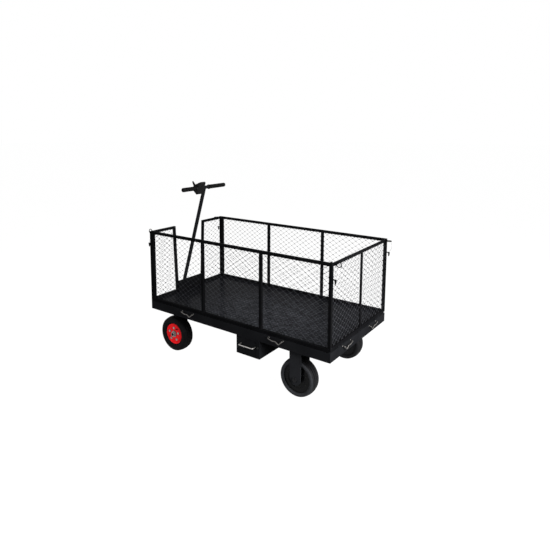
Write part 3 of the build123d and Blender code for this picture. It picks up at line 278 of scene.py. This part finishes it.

# Coats that single pieces have instead of their slot's, among them painted glints on the deck's lugs, painted
# light on the forks and painted shade on the cage
# The lugs are lighter than the plate: painted glints, over the deck's painted sheen
lug_glint_coat = deck_coat("lug_glint_coat", (0.0137, 0.0144, 0.0165), (0.0508, 0.0535, 0.0613)).material
hook_zinc = bare_metal("dull_zinc", (0.04, 0.038, 0.036), (0.14, 0.133, 0.126), (0.4, 0.55)).material
# A lighter copy of the frame's black paint on the rear forks: painted light that the forks catch
fork_painted_light = painted(
    "fork_painted_light", (0.013, 0.0135, 0.0152), (0.018, 0.0186, 0.0208), (0.5, 0.62), 0.004
).material
# A darker copy of the frame's black paint on the cage's frames, front board, pins and end welds: painted
# shade
cage_painted_shade = painted(
    "cage_painted_shade", (0.0022, 0.0023, 0.0026), (0.004, 0.0041, 0.0046), (0.5, 0.62), 0.003
).material
NODE_COATS = {
    ("side_frame", "tail_frame", "stub_frame", "front_board", "tail_pin", "handle_pin"): cage_painted_shade,
    ("rear_fork",): fork_painted_light,
    ("rope_hooks",): hook_zinc,
}
for subpart in frame["record"]["subparts"]:
    coat = MATERIALS[subpart["material_slot"]]
    for starts, own_coat in NODE_COATS.items():
        if subpart["node"].startswith(starts):
            coat = own_coat
    mesh = frame["nodes"][subpart["node"]].data
    mesh.materials.clear()
    mesh.materials.append(coat)


# Camera at the photograph's place, with the shift of its crop
camera = bpy.data.cameras.new("camera")
camera.sensor_width = 36.0
camera.lens = 32.27
camera.shift_x = 0.0341
camera.shift_y = -0.14
camera.clip_end = 200.0
eye = put("camera", camera)
eye.location = (2.0292, -2.794, 1.6355)
azimuth, elevation = math.radians(36.49), math.radians(7.87)
level = Vector((-math.sin(azimuth), math.cos(azimuth), 0.0))
aim(eye, level * math.cos(elevation) - Vector((0.0, 0.0, math.sin(elevation))))
bpy.context.scene.camera = eye

# White studio: a white surround, a floor that looks white but throws no light up, and four soft lights
AMBIENT = 0.12  # light of the surround on dull faces
world = bpy.data.worlds.new("studio")
world.use_nodes = True
surround = world.node_tree.nodes["Background"]
surround.inputs["Color"].default_value = (1.0, 1.0, 1.0, 1.0)
world_ray = world.node_tree.nodes.new("ShaderNodeLightPath")
dimmer = world.node_tree.nodes.new("ShaderNodeMapRange")
dimmer.inputs["To Min"].default_value = 1.0
dimmer.inputs["To Max"].default_value = AMBIENT
world.node_tree.links.new(world_ray.outputs["Is Diffuse Ray"], dimmer.inputs["Value"])
world.node_tree.links.new(dimmer.outputs["Result"], surround.inputs["Strength"])
bpy.context.scene.world = world
bpy.context.scene.view_settings.view_transform = "Standard"

FLOOR_WHITE, FLOOR_REACH = 0.99, 60.0
floor_graph = Graph("studio_floor")
ray = floor_graph.node("ShaderNodeLightPath").outputs
seen = floor_graph.maths("MAXIMUM", ray["Is Camera Ray"], ray["Is Glossy Ray"])
seen = floor_graph.maths("MAXIMUM", seen, ray["Is Transmission Ray"])
floor_graph.set(
    Base_Color=floor_graph.ramp(floor_graph.noise(scale=2.0), [(0.3, (0.05,) * 3), (0.7, (0.06,) * 3)]),
    Roughness=0.9,
    Emission_Color=(1.0, 1.0, 1.0, 1.0),
    Emission_Strength=floor_graph.maths("MULTIPLY", seen, FLOOR_WHITE),
    Specular_IOR_Level=0.0,
)
floor_corners = [(x * FLOOR_REACH, y * FLOOR_REACH, 0.0) for x, y in ((-1, -1), (1, -1), (1, 1), (-1, 1))]
floor_mesh = bpy.data.meshes.new("floor")
floor_mesh.from_pydata(floor_corners, [], [(0, 1, 2, 3)])
floor_mesh.materials.append(floor_graph.material)
floor = put("floor", floor_mesh)


def soft_light(name, place, target, size, power):
    lamp = bpy.data.lights.new(name, "AREA")
    lamp.size = size
    lamp.energy = power
    obj = put(name, lamp)
    obj.location = place
    aim(obj, Vector(target) - Vector(place))


soft_light("key", place=(2.8, -0.85, 1.6), target=(0.5, -0.2, 0.4), size=1.4, power=250.0)
soft_light("near_fill", place=(-1.2, -3.6, 1.1), target=(-0.5, -0.4, 0.2), size=1.2, power=52.0)
soft_light("far_fill", place=(1.5, 3.5, 2.0), target=(0.0, 0.4, 0.5), size=2.0, power=70.0)
soft_light("handle_fill", place=(-3.5, 0.3, 2.0), target=(-0.7, 0.0, 0.5), size=2.0, power=70.0)


# Building pieces
BEAD_SIDES, RINGS_PER_RIPPLE = 7, 4
BEAD_VALLEY, BEAD_TIP = 0.82, 0.35  # shares of a bead's radius between its ripples and at its ends


def circle(centre, axis, radius, sides):
    """Points of a regular polygon round an axis."""
    across = axis.orthogonal().normalized()
    up = axis.cross(across)
    points = []
    for k in range(sides):
        angle = 2 * math.pi * k / sides
        points.append(tuple(centre + (across * math.cos(angle) + up * math.sin(angle)) * radius))
    return points


def band(first, second, count):
    """Faces between two closed rings of points, each given by the index of its first point."""
    steps = [(k, (k + 1) % count) for k in range(count)]
    return [(first + k, first + n, second + n, second + k) for k, n in steps]


class Shape:
    """Vertices and faces gathered from several small forms."""

    def __init__(self):
        self.vertices = []
        self.faces = []

    def add(self, vertices, faces):
        start = len(self.vertices)
        self.vertices.extend(vertices)
        self.faces.extend(tuple(start + index for index in face) for face in faces)

    def stack(self, rings, bottom=True):
        """Join closed rings of equally many points, with a face on the last and, if asked, on the first."""
        count, last = len(rings[0]), len(rings) - 1
        faces = [tuple(range(count))[::-1]] if bottom else []
        faces.append(tuple(last * count + k for k in range(count)))
        for ring in range(last):
            faces += band(ring * count, (ring + 1) * count, count)
        self.add([point for ring in rings for point in ring], faces)

    def lathe(self, centre, profile, segments, side=1.0, lift=None):
        """Turn a closed profile of (along, radius) about the Y axis through a centre."""
        count = len(profile)
        vertices, faces = [], []
        for i in range(segments):
            angle = 2 * math.pi * i / segments
            for j, (along, radius) in enumerate(profile):
                reach = radius + (lift(i, j) if lift else 0.0)
                x, z = reach * math.sin(angle), reach * math.cos(angle)
                vertices.append((centre[0] + x, centre[1] + side * along, centre[2] + z))
            faces += band(i * count, (i + 1) % segments * count, count)
        self.add(vertices, faces)

    def prism(self, centre, axis, radius, length, sides, top=0.88):
        """A bar of regular section from a centre along an axis; top is the share that its chamfer leaves."""
        axis = Vector(axis).normalized()
        levels = ((0.0, 1.0), (length - radius * (1 - top), 1.0), (length, top))
        self.stack([circle(Vector(centre) + axis * a, axis, radius * share, sides) for a, share in levels])

    def bead(self, start, end, radius, ripples):
        """A weld bead: a short rippled bar between two points, its ends drawn in."""
        start, end = Vector(start), Vector(end)
        axis = (end - start).normalized()
        last = RINGS_PER_RIPPLE * ripples
        rings = []
        for i in range(last + 1):
            share = i / last
            swell = radius * (BEAD_VALLEY + (1 - BEAD_VALLEY) * abs(math.sin(math.pi * ripples * share)))
            swell *= BEAD_TIP if i in (0, last) else 1.0
            rings.append(circle(start.lerp(end, share), axis, swell, BEAD_SIDES))
        self.stack(rings)


def piece(name, shape, slot, body, smooth=None, replaces=(), coat=None):
    """Make a shape an object that rides on a body, shaded smooth below an angle in degrees."""
    mesh = bpy.data.meshes.new(name)
    mesh.from_pydata(shape.vertices, [], shape.faces)
    skin = bmesh.new()
    skin.from_mesh(mesh)
    bmesh.ops.recalc_face_normals(skin, faces=skin.faces)
    skin.to_mesh(mesh)
    skin.free()
    if smooth is not None:
        mesh.shade_smooth()
        mesh.set_sharp_from_angle(angle=math.radians(smooth))
    mesh.materials.append(coat or MATERIALS[slot])
    obj = put(name, mesh)
    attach(obj, body)
    if replaces:
        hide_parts(*replaces)


def turned(along, across, angle):
    """A step along and across a line, split along its plane's axes; angle turns the line from the first."""
    cosine, sine = math.cos(angle), math.sin(angle)
    return along * cosine - across * sine, along * sine + across * cosine


def arc(first, through, last, count):
    """Points of the circle through three points, from the first to the last, ends included."""
    (ax, ay), (bx, by), (cx, cy) = first, through, last
    d = 2 * (ax * (by - cy) + bx * (cy - ay) + cx * (ay - by))
    a, b, c = (x**2 + y**2 for x, y in (first, through, last))
    ux = (a * (by - cy) + b * (cy - ay) + c * (ay - by)) / d
    uy = (a * (cx - bx) + b * (ax - cx) + c * (bx - ax)) / d
    radius = math.hypot(ax - ux, ay - uy)
    angles = [math.atan2(y - uy, x - ux) for x, y in (first, through, last)]
    for i in (1, 2):
        while angles[i] - angles[i - 1] > math.pi:
            angles[i] -= 2 * math.pi
        while angles[i] - angles[i - 1] < -math.pi:
            angles[i] += 2 * math.pi
    steps = [angles[0] + (angles[2] - angles[0]) * i / (count - 1) for i in range(count)]
    return [(ux + radius * math.cos(step), uy + radius * math.sin(step)) for step in steps]


# Tread of the deck: almond lugs that alternate between the two diagonals
LUG_PITCH, LUG_MARGIN = 0.029, 0.03
LUG_HALF_LENGTH, LUG_HALF_WIDTH, LUG_HEIGHT = 0.0115, 0.0034, 0.0013
LUG_CORNERS, LUG_WAIST, LUG_TOP = 8, 0.85, 0.5  # shares that draw in every other corner, and the flat top
LUG_ANGLE = math.radians(45.0)


def lug(shape, x, y, angle):
    """One lug: a pointed oval that rises to a narrower flat top."""
    rings = []
    for share, height in ((1.0, 0.0), (LUG_TOP, LUG_HEIGHT)):
        ring = []
        for k in range(LUG_CORNERS):
            t = 2 * math.pi * k / LUG_CORNERS
            width = LUG_HALF_WIDTH * (LUG_WAIST if k % 2 else 1.0)
            step = turned(LUG_HALF_LENGTH * share * math.cos(t), width * share * math.sin(t), angle)
            ring.append((x + step[0], y + step[1], deck_high.z + height))
        rings.append(ring)
    shape.stack(rings, bottom=False)


tread = Shape()
columns = int((deck_high.x - deck_low.x - LUG_MARGIN) / LUG_PITCH)
rows = int((deck_high.y - deck_low.y - LUG_MARGIN) / LUG_PITCH)
deck_middle = (deck_low + deck_high) / 2
for i in range(columns + 1):
    for j in range(rows + 1):
        lug_x = deck_middle.x + (i - columns / 2) * LUG_PITCH
        lug_y = deck_middle.y + (j - rows / 2) * LUG_PITCH
        lug(tread, lug_x, lug_y, LUG_ANGLE if (i + j) % 2 else -LUG_ANGLE)
piece("deck_tread", tread, "deck_paint", "chassis", smooth=30, coat=lug_glint_coat)


# Tyres: the CAD outline with groove walls, cross cuts in the tread and rings on the sidewalls
TYRE_SEGMENTS = 240
TYRE_SLACK, RIM_LIP = 0.0003, 0.001
SHOULDER, CROWN_DROP = 0.39, 0.005  # place of the shoulder as a share of the width, and its drop
WALL_POINTS, WALL_RINGS, WALL_RING_DEPTH = 13, (3, 5, 9), 0.0006
GROOVE_SLOPE, GROOVE_EDGE, GROOVE_FLOOR, GROOVE_DEPTH = 0.0055, 0.0025, 0.002, 0.004
RIB_STAGGER = 4


def tyre_profile(radius, width, seat_radius, seat_width, rim_radius):
    """Closed profile of (along, radius) and, for each point, the tread rib that it lies on."""
    base, shoulder = seat_width / 2 - TYRE_SLACK, SHOULDER * width
    bore, crown_edge = seat_radius + TYRE_SLACK, radius - CROWN_DROP
    foot = (base, rim_radius + RIM_LIP)
    bulge = (width / 2, (rim_radius + crown_edge) / 2)
    wall = []
    for k, (along, r) in enumerate(arc(foot, bulge, (shoulder, crown_edge), WALL_POINTS)):
        wall.append((along - (WALL_RING_DEPTH if k in WALL_RINGS else 0.0), r))
    points = [((along, r), None) for along, r in [(-base, bore), (base, bore)] + wall[:-1]]
    grooves = (shoulder / 2, 0.0, -shoulder / 2)
    stations = [(shoulder, 0)]
    for rib, groove in enumerate(grooves):
        stations += [(groove + GROOVE_SLOPE, rib), (groove + GROOVE_EDGE, rib), (groove + GROOVE_FLOOR, None)]
        stations.append((groove - GROOVE_FLOOR, None))
        stations += [(groove - GROOVE_EDGE, rib + 1), (groove - GROOVE_SLOPE, rib + 1)]
    stations.append((-shoulder, len(grooves)))
    for along, rib in stations:
        crown = radius - CROWN_DROP * (along / shoulder) ** 2
        points.append(((along, crown if rib is not None else crown - GROOVE_DEPTH), rib))
    points += [((-along, r), None) for along, r in reversed(wall[:-1])]
    return [point for point, rib in points], [rib for point, rib in points]


def dress_tyre(name, body, slot, side, sizes, cut_every, cut_depth):
    profile, ribs = tyre_profile(**sizes)

    def cut(i, j):
        return -cut_depth if ribs[j] is not None and (i + RIB_STAGGER * ribs[j]) % cut_every == 0 else 0.0

    shape = Shape()
    shape.lathe(middle(name), profile, TYRE_SEGMENTS, side, cut)
    piece(f"{name}_tread", shape, slot, body, smooth=35, replaces=[name])


FRONT_TYRE = {"radius": 0.130, "width": 0.090, "seat_radius": 0.069, "seat_width": 0.058, "rim_radius": 0.076}
REAR_TYRE = {"radius": 0.122, "width": 0.088, "seat_radius": 0.083, "seat_width": 0.052, "rim_radius": 0.090}
FRONT_CUTS = {"cut_every": 8, "cut_depth": 0.003}  # segments from one cut to the next, and depth
REAR_CUTS = {"cut_every": 16, "cut_depth": 0.0012}
for side_name, side in SIDES:
    front_wheel, rear_wheel = f"front_wheel_{side_name}", f"rear_wheel_{side_name}"
    dress_tyre(f"front_tyre_{side_name}", front_wheel, "tyre", side, FRONT_TYRE, **FRONT_CUTS)
    dress_tyre(f"rear_tyre_{side_name}", rear_wheel, "solid_tyre", side, REAR_TYRE, **REAR_CUTS)

# Valve stems of the air tyres, and the screws round the motor covers
WEB_FACE, STEM_CIRCLE, STEM_TURN, CAP_START = 0.030, 0.053, math.radians(36.0), 0.008
COVER_FACE, SCREW_CIRCLE, SCREW_COUNT = 0.030, 0.068, 8


def on_wheel(radius, turn, along):
    """A place beside a wheel's middle, turned from the top."""
    return Vector((radius * math.sin(turn), along, radius * math.cos(turn)))


for side_name, side in SIDES:
    foot = middle(f"front_rim_{side_name}") + on_wheel(STEM_CIRCLE, STEM_TURN, side * WEB_FACE)
    out = Vector((0, side, 0))
    stem = Shape()
    stem.prism(foot, out, radius=0.0042, length=0.004, sides=16, top=0.8)
    stem.prism(foot, out, radius=0.0028, length=0.013, sides=16)
    stem.prism(foot + out * CAP_START, out, radius=0.0036, length=0.008, sides=12)
    piece(f"valve_stem_{side_name}", stem, "tyre", f"front_wheel_{side_name}", smooth=30)
    axle = middle(f"motor_hub_{side_name}")
    screws = Shape()
    for face in (-1.0, 1.0):
        for k in range(SCREW_COUNT):
            place = on_wheel(SCREW_CIRCLE, 2 * math.pi * (k + 0.5) / SCREW_COUNT, face * COVER_FACE)
            screws.prism(axle + place, (0, face, 0), radius=0.0042, length=0.0026, sides=6, top=0.85)
    piece(f"cover_screws_{side_name}", screws, "black_steel", f"rear_wheel_{side_name}", smooth=20)

# Grips: ribbed sleeves with a flange towards the middle and a domed end
GRIP_LENGTHS = {"near": 0.125, "far": 0.190}
GRIP_RADIUS, GRIP_BORE, GRIP_SEGMENTS = 0.016, 0.01255, 64
FLANGE_RADIUS, FLANGE_WIDTH = 0.018, 0.004
RIB_START, RIB_MARGIN, RIB_PITCH, RIB_VALLEY = 0.006, 0.016, 0.0062, 0.0146
VALLEY_END, CREST_START, CREST_END = 0.0016, 0.0024, 0.0052  # within a rib's pitch
END_WALL, END_HOLE = 0.005, 0.0003
END_DOME = ((0.004, 0.0156), (0.0012, 0.013), (0.0, 0.009))  # distance from the end, and radius
grip_low, grip_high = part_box("grips")
bar_centre = (grip_low + grip_high) / 2


def grip_profile(start, end):
    """Closed profile of (along, radius) of one sleeve."""
    profile = [(end - END_WALL, GRIP_BORE), (start, GRIP_BORE)]
    profile += [(start, FLANGE_RADIUS), (start + FLANGE_WIDTH, FLANGE_RADIUS)]
    for k in range(int((end - start - RIB_MARGIN) / RIB_PITCH)):
        foot = start + RIB_START + k * RIB_PITCH
        profile += [(foot, RIB_VALLEY), (foot + VALLEY_END, RIB_VALLEY)]
        profile += [(foot + CREST_START, GRIP_RADIUS), (foot + CREST_END, GRIP_RADIUS)]
    profile += [(end - back, radius) for back, radius in END_DOME]
    return profile + [(end, END_HOLE), (end - END_WALL, END_HOLE)]


grips = Shape()
for side_name, side in SIDES:
    sleeve = grip_profile(grip_high.y - GRIP_LENGTHS[side_name], grip_high.y)
    grips.lathe((bar_centre.x, 0.0, bar_centre.z), sleeve, GRIP_SEGMENTS, side)
piece("ribbed_grips", grips, "grip_rubber", "handle", smooth=40, replaces=["grips"])


# Mesh: round wires in two layers, with small welds where they cross and larger ones where they meet the frame
DIAMOND_WIDTH, DIAMOND_HEIGHT = 0.051, 0.0355
MESH_SLOPE = DIAMOND_HEIGHT / DIAMOND_WIDTH
POST_SLANT = 0.022 / 0.526  # how far the short panels' outer posts lean inwards, over their height
WIRE, WIRE_SIDES, SHORTEST_WIRE = 0.0012, 6, 0.004
CROSS_WELD = (0.0049, 0.0025, WIRE)  # half its length, width and thickness
END_WELD = (0.012, 0.0032, 0.0026)
WELD_CORNERS, WELD_RIM = 6, 0.5  # the share of its size that a weld's faces have
WELD_MARGIN = 0.003
SIDE_BAYS = 3


def weld(shape, across, up, place, half_sizes, turn=0.0):
    """A flat lozenge of weld, its length turned from level."""
    length, width, thickness = half_sizes
    rings = []
    for out, share in ((-thickness, WELD_RIM), (0.0, 1.0), (thickness, WELD_RIM)):
        ring = []
        for k in range(WELD_CORNERS):
            t = 2 * math.pi * k / WELD_CORNERS
            step = turned(length * share * math.cos(t), width * share * math.sin(t), turn)
            ring.append(place(across + step[0], up + step[1], out))
        rings.append(ring)
    shape.stack(rings)


def weave(node, body, windows, place, slant=0.0):
    """Wires and welds in a node's windows; place turns (across, up, out) into a point.

    The right edge of a window may lean inwards by a slant.
    """
    wires, ends = Shape(), Shape()
    for (left, low), (right, high) in windows:
        across, up = (left + right) / 2, (low + high) / 2
        count = math.ceil((right - left + (high - low) / MESH_SLOPE) / DIAMOND_WIDTH) + 1
        steps = [(i - (count - 1) / 2) * DIAMOND_WIDTH for i in range(count)]
        for rise in (-MESH_SLOPE, MESH_SLOPE):
            for step in steps:
                foot = across + step - up / rise
                reach = sorted((foot + low / rise, foot + high / rise))
                edge = (right + slant * (low + rise * foot)) / (1 + slant * rise)
                start, end = max(left, reach[0]), min(edge, reach[1])
                if end - start > SHORTEST_WIRE:
                    layer = math.copysign(WIRE / 2, rise)
                    tips = [Vector(place(x, rise * (x - foot), layer)) for x in (start, end)]
                    run = tips[1] - tips[0]
                    wires.prism(tips[0], run, WIRE / 2, run.length, WIRE_SIDES)
                    for x in (start, end):
                        weld(ends, x, rise * (x - foot), place, END_WELD, math.atan(rise))
        for first in steps:
            for second in steps:
                x = across + (first + second) / 2
                z = up + MESH_SLOPE * (first - second) / 2
                edge = right - slant * (z - low)
                inside = left + WELD_MARGIN < x < edge - WELD_MARGIN
                if inside and low + WELD_MARGIN < z < high - WELD_MARGIN:
                    weld(wires, x, z, place, CROSS_WELD)
    piece(f"{node}_weave", wires, "mesh_wire", body, smooth=70, replaces=[node])
    piece(f"{node}_end_welds", ends, "frame_black", body, smooth=70, coat=cage_painted_shade)


bay = (side_window_high.x - side_window_low.x - (SIDE_BAYS - 1) * TUBE) / SIDE_BAYS
side_bays = []
for k in range(SIDE_BAYS):
    start = side_window_low.x + k * (bay + TUBE)
    side_bays.append(((start, side_window_low.z), (start + bay, side_window_high.z)))
tail_bays = [
    ((tail_window_low.y, tail_window_low.z), (-TUBE / 2, tail_window_high.z)),
    ((TUBE / 2, tail_window_low.z), (tail_window_high.y, tail_window_high.z)),
]
stub_bays = [((stub_window_low.y, stub_window_low.z), (stub_window_high.y, stub_window_high.z))]

for side_name, side in SIDES:
    side_y = middle(f"side_mesh_{side_name}").y
    weave(f"side_mesh_{side_name}", f"side_{side_name}", side_bays, lambda a, u, o: (a, side_y + o, u))
    stub_x = middle(f"stub_mesh_{side_name}").x
    weave(
        f"stub_mesh_{side_name}", "chassis", stub_bays, lambda a, u, o: (stub_x + o, -side * a, u), POST_SLANT
    )
tail_x = middle("tail_mesh").x
weave("tail_mesh", "tail", tail_bays, lambda a, u, o: (tail_x + o, a, u))

# Welds where the posts of the cage meet its rails, and round the feet of the rope hooks
BEAD_RADIUS, BEAD_REACH, BEAD_RIPPLES = 0.0013, 0.45, 6  # the reach is a share of the tube's width
posts = [(side_window_low.x - TUBE / 2 + k * (bay + TUBE), TUBE) for k in range(SIDE_BAYS)]
posts.append((side_window_high.x + SLIM / 2, SLIM))
side_levels = (side_window_low.z, side_window_high.z)
for side_name, side in SIDES:
    side_welds = Shape()
    for y in (side * rail_high.y, side * (rail_high.y - TUBE)):
        for x, width in posts:
            for z in side_levels:
                reach = BEAD_REACH * width
                side_welds.bead((x - reach, y, z), (x + reach, y, z), BEAD_RADIUS, BEAD_RIPPLES)
    piece(f"side_welds_{side_name}", side_welds, "frame_black", f"side_{side_name}", smooth=60)
tail_welds = Shape()
tail_levels = (tail_window_low.z, tail_window_high.z)
for x, levels in ((rail_high.x, tail_levels), (rail_high.x - SLIM, tail_levels[1:])):
    for y in (tail_window_low.y - TUBE / 2, 0.0, tail_window_high.y + TUBE / 2):
        for z in levels:
            reach = BEAD_REACH * TUBE
            tail_welds.bead((x, y - reach, z), (x, y + reach, z), BEAD_RADIUS, BEAD_RIPPLES)
piece("tail_welds", tail_welds, "frame_black", "tail", smooth=60)

HOOK_LENGTH, HOOK_HEIGHT = 0.106, 0.049
HOOK_FROM_END, TAIL_HOOK_SPACING = 0.375, 0.380
HOOK_FOOT = {"radius": 0.005, "length": 0.0024, "sides": 14, "top": 0.68}
hook_z = rail_low.z + HOOK_HEIGHT
hook_ends = (-HOOK_LENGTH / 2, HOOK_LENGTH / 2)
hook_welds = Shape()
for hook_x in (rail_high.x - HOOK_FROM_END, rail_low.x + HOOK_FROM_END):
    for _, side in SIDES:
        for end in hook_ends:
            hook_welds.prism((hook_x + end, side * rail_high.y, hook_z), (0, side, 0), **HOOK_FOOT)
for hook_y in (-TAIL_HOOK_SPACING / 2, TAIL_HOOK_SPACING / 2):
    for end in hook_ends:
        hook_welds.prism((rail_high.x, hook_y + end, hook_z), (1, 0, 0), **HOOK_FOOT)
piece("hook_welds", hook_welds, "zinc", "chassis", smooth=40, coat=hook_zinc)

# Face of the control head: a bezel and level bars on the gauge, and arrows beside the rocker
HANDLE_LEAN, PANEL_SLOPE = math.radians(16.9), math.atan2(0.055, 0.045)
LENS_TOP, TILE_TOP = 0.0021, 0.86  # height of the lens over its middle, and the share that a tile tapers to
head_out = Vector((-math.cos(HANDLE_LEAN), 0.0, math.sin(HANDLE_LEAN)))
head_up = Vector((math.sin(HANDLE_LEAN), 0.0, math.cos(HANDLE_LEAN)))
panel_out = head_out * math.sin(PANEL_SLOPE) + head_up * math.cos(PANEL_SLOPE)
panel_up = panel_out.cross(Vector((0.0, -1.0, 0.0)))
lens_centre = middle("gauge_lens")


def tile(shape, across, up, width, height, low, high, pointed=0.0):
    """A small raised plate on the panel, measured across and up from the middle of the gauge's lens.

    It stands from low to high over the lens's top, and pointed draws its upper corners in.
    """
    rings = []
    for out, share in ((low, 1.0), (high, TILE_TOP)):
        ring = []
        for a, u in ((-0.5, -0.5), (0.5, -0.5), (0.5 - pointed, 0.5), (pointed - 0.5, 0.5)):
            place = Vector((0.0, -(across + a * width * share), 0.0)) + panel_up * (up + u * height * share)
            ring.append(tuple(lens_centre + place + panel_out * (LENS_TOP + out)))
        rings.append(ring)
    shape.stack(rings)


bezel = Shape()
for sign in (-1.0, 1.0):
    tile(bezel, across=0.0, up=sign * 0.0091, width=0.039, height=0.0026, low=-0.0016, high=0.0004)
    tile(bezel, across=sign * 0.0186, up=0.0, width=0.0026, height=0.0158, low=-0.0016, high=0.0004)
piece("gauge_bezel", bezel, "head_plastic", "handle")

BAR_COUNT, BAR_PITCH, BAR_WIDTH, BAR_HEIGHT, BAR_STEP = 5, 0.0054, 0.0036, 0.0035, 0.0011
bars = Shape()
for k in range(BAR_COUNT):
    bar_across, bar_height = (k - (BAR_COUNT - 1) / 2) * BAR_PITCH, BAR_HEIGHT + BAR_STEP * k
    tile(bars, bar_across, up=0.0, width=BAR_WIDTH, height=bar_height, low=-0.0002, high=0.0003)
piece("gauge_bars", bars, "key_metal", "handle")

arrows = Shape()
for up, height in ((-0.0145, 0.004), (-0.0395, -0.004)):
    tile(arrows, across=-0.002, up=up, width=0.006, height=height, low=-0.0013, high=-0.0007, pointed=0.45)
piece("direction_arrows", arrows, "key_metal", "handle")

# Front of the battery box: screws in its corners and the barrel of the drawer's lock
SCREW_INSET, LOCK_INSET, LOCK_RISE, LOCK_DEPTH = 0.004, 0.014, 0.014, 0.003
FORWARD = Vector((0.0, -1.0, 0.0))
box_low, box_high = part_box("battery_housing")
fittings = Shape()
for x in (box_low.x + SCREW_INSET, box_high.x - SCREW_INSET):
    for z in (box_low.z + SCREW_INSET, box_high.z - SCREW_INSET):
        fittings.prism((x, box_low.y, z), FORWARD, radius=0.0026, length=0.0016, sides=10, top=0.7)
lock = Vector((box_high.x - LOCK_INSET, box_low.y, (box_low.z + box_high.z) / 2 + LOCK_RISE))
fittings.prism(lock, FORWARD, radius=0.0075, length=LOCK_DEPTH, sides=24, top=0.85)
fittings.prism(lock + FORWARD * LOCK_DEPTH, FORWARD, radius=0.0045, length=0.0012, sides=20, top=0.8)
piece("box_fittings", fittings, "black_steel", "chassis", smooth=30)


# Lanyards: one smooth wire from each pin's ring, upright on the near side and flat on the far, to its keeper
LANYARD_RADIUS = 0.001
LANYARD_ROUTES = {  # along the cart, out from its middle and above the floor
    ("tail", "near"): [
        (0.80965, 0.368, 0.87095),
        (0.81265, 0.372, 0.84857),
        (0.81065, 0.380, 0.82619),
        (0.800, 0.390, 0.809),
    ],
    ("tail", "far"): [
        (0.82465, 0.368, 0.88595),
        (0.82765, 0.372, 0.85832),
        (0.82565, 0.380, 0.83069),
        (0.800, 0.390, 0.809),
    ],
    ("handle", "near"): [
        (-0.74165, 0.368, 0.87095),
        (-0.74465, 0.372, 0.84857),
        (-0.74265, 0.380, 0.82619),
        (-0.732, 0.390, 0.809),
    ],
    ("handle", "far"): [
        (-0.75665, 0.368, 0.88595),
        (-0.75965, 0.372, 0.85832),
        (-0.75765, 0.380, 0.83069),
        (-0.732, 0.390, 0.809),
    ],
}


def lanyard(name, body, points):
    curve = bpy.data.curves.new(name, "CURVE")
    curve.dimensions = "3D"
    curve.bevel_depth = LANYARD_RADIUS
    curve.bevel_resolution = 4
    curve.resolution_u = 12
    curve.use_fill_caps = True
    spline = curve.splines.new("NURBS")
    spline.points.add(len(points) - 1)
    for point, place in zip(spline.points, points):
        point.co = (*place, 1.0)
    spline.order_u = 3
    spline.use_endpoint_u = True
    curve.materials.append(MATERIALS["lanyard_wire"])
    obj = put(f"{name}_wire", curve)
    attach(obj, body)
    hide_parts(name)


for side_name, side in SIDES:
    for end_name in ("tail", "handle"):
        route = [(x, side * y, z) for x, y, z in LANYARD_ROUTES[end_name, side_name]]
        pin_body = f"pin_{end_name}_{side_name}"
        lanyard(f"{end_name}_lanyard_{side_name}", pin_body, route)
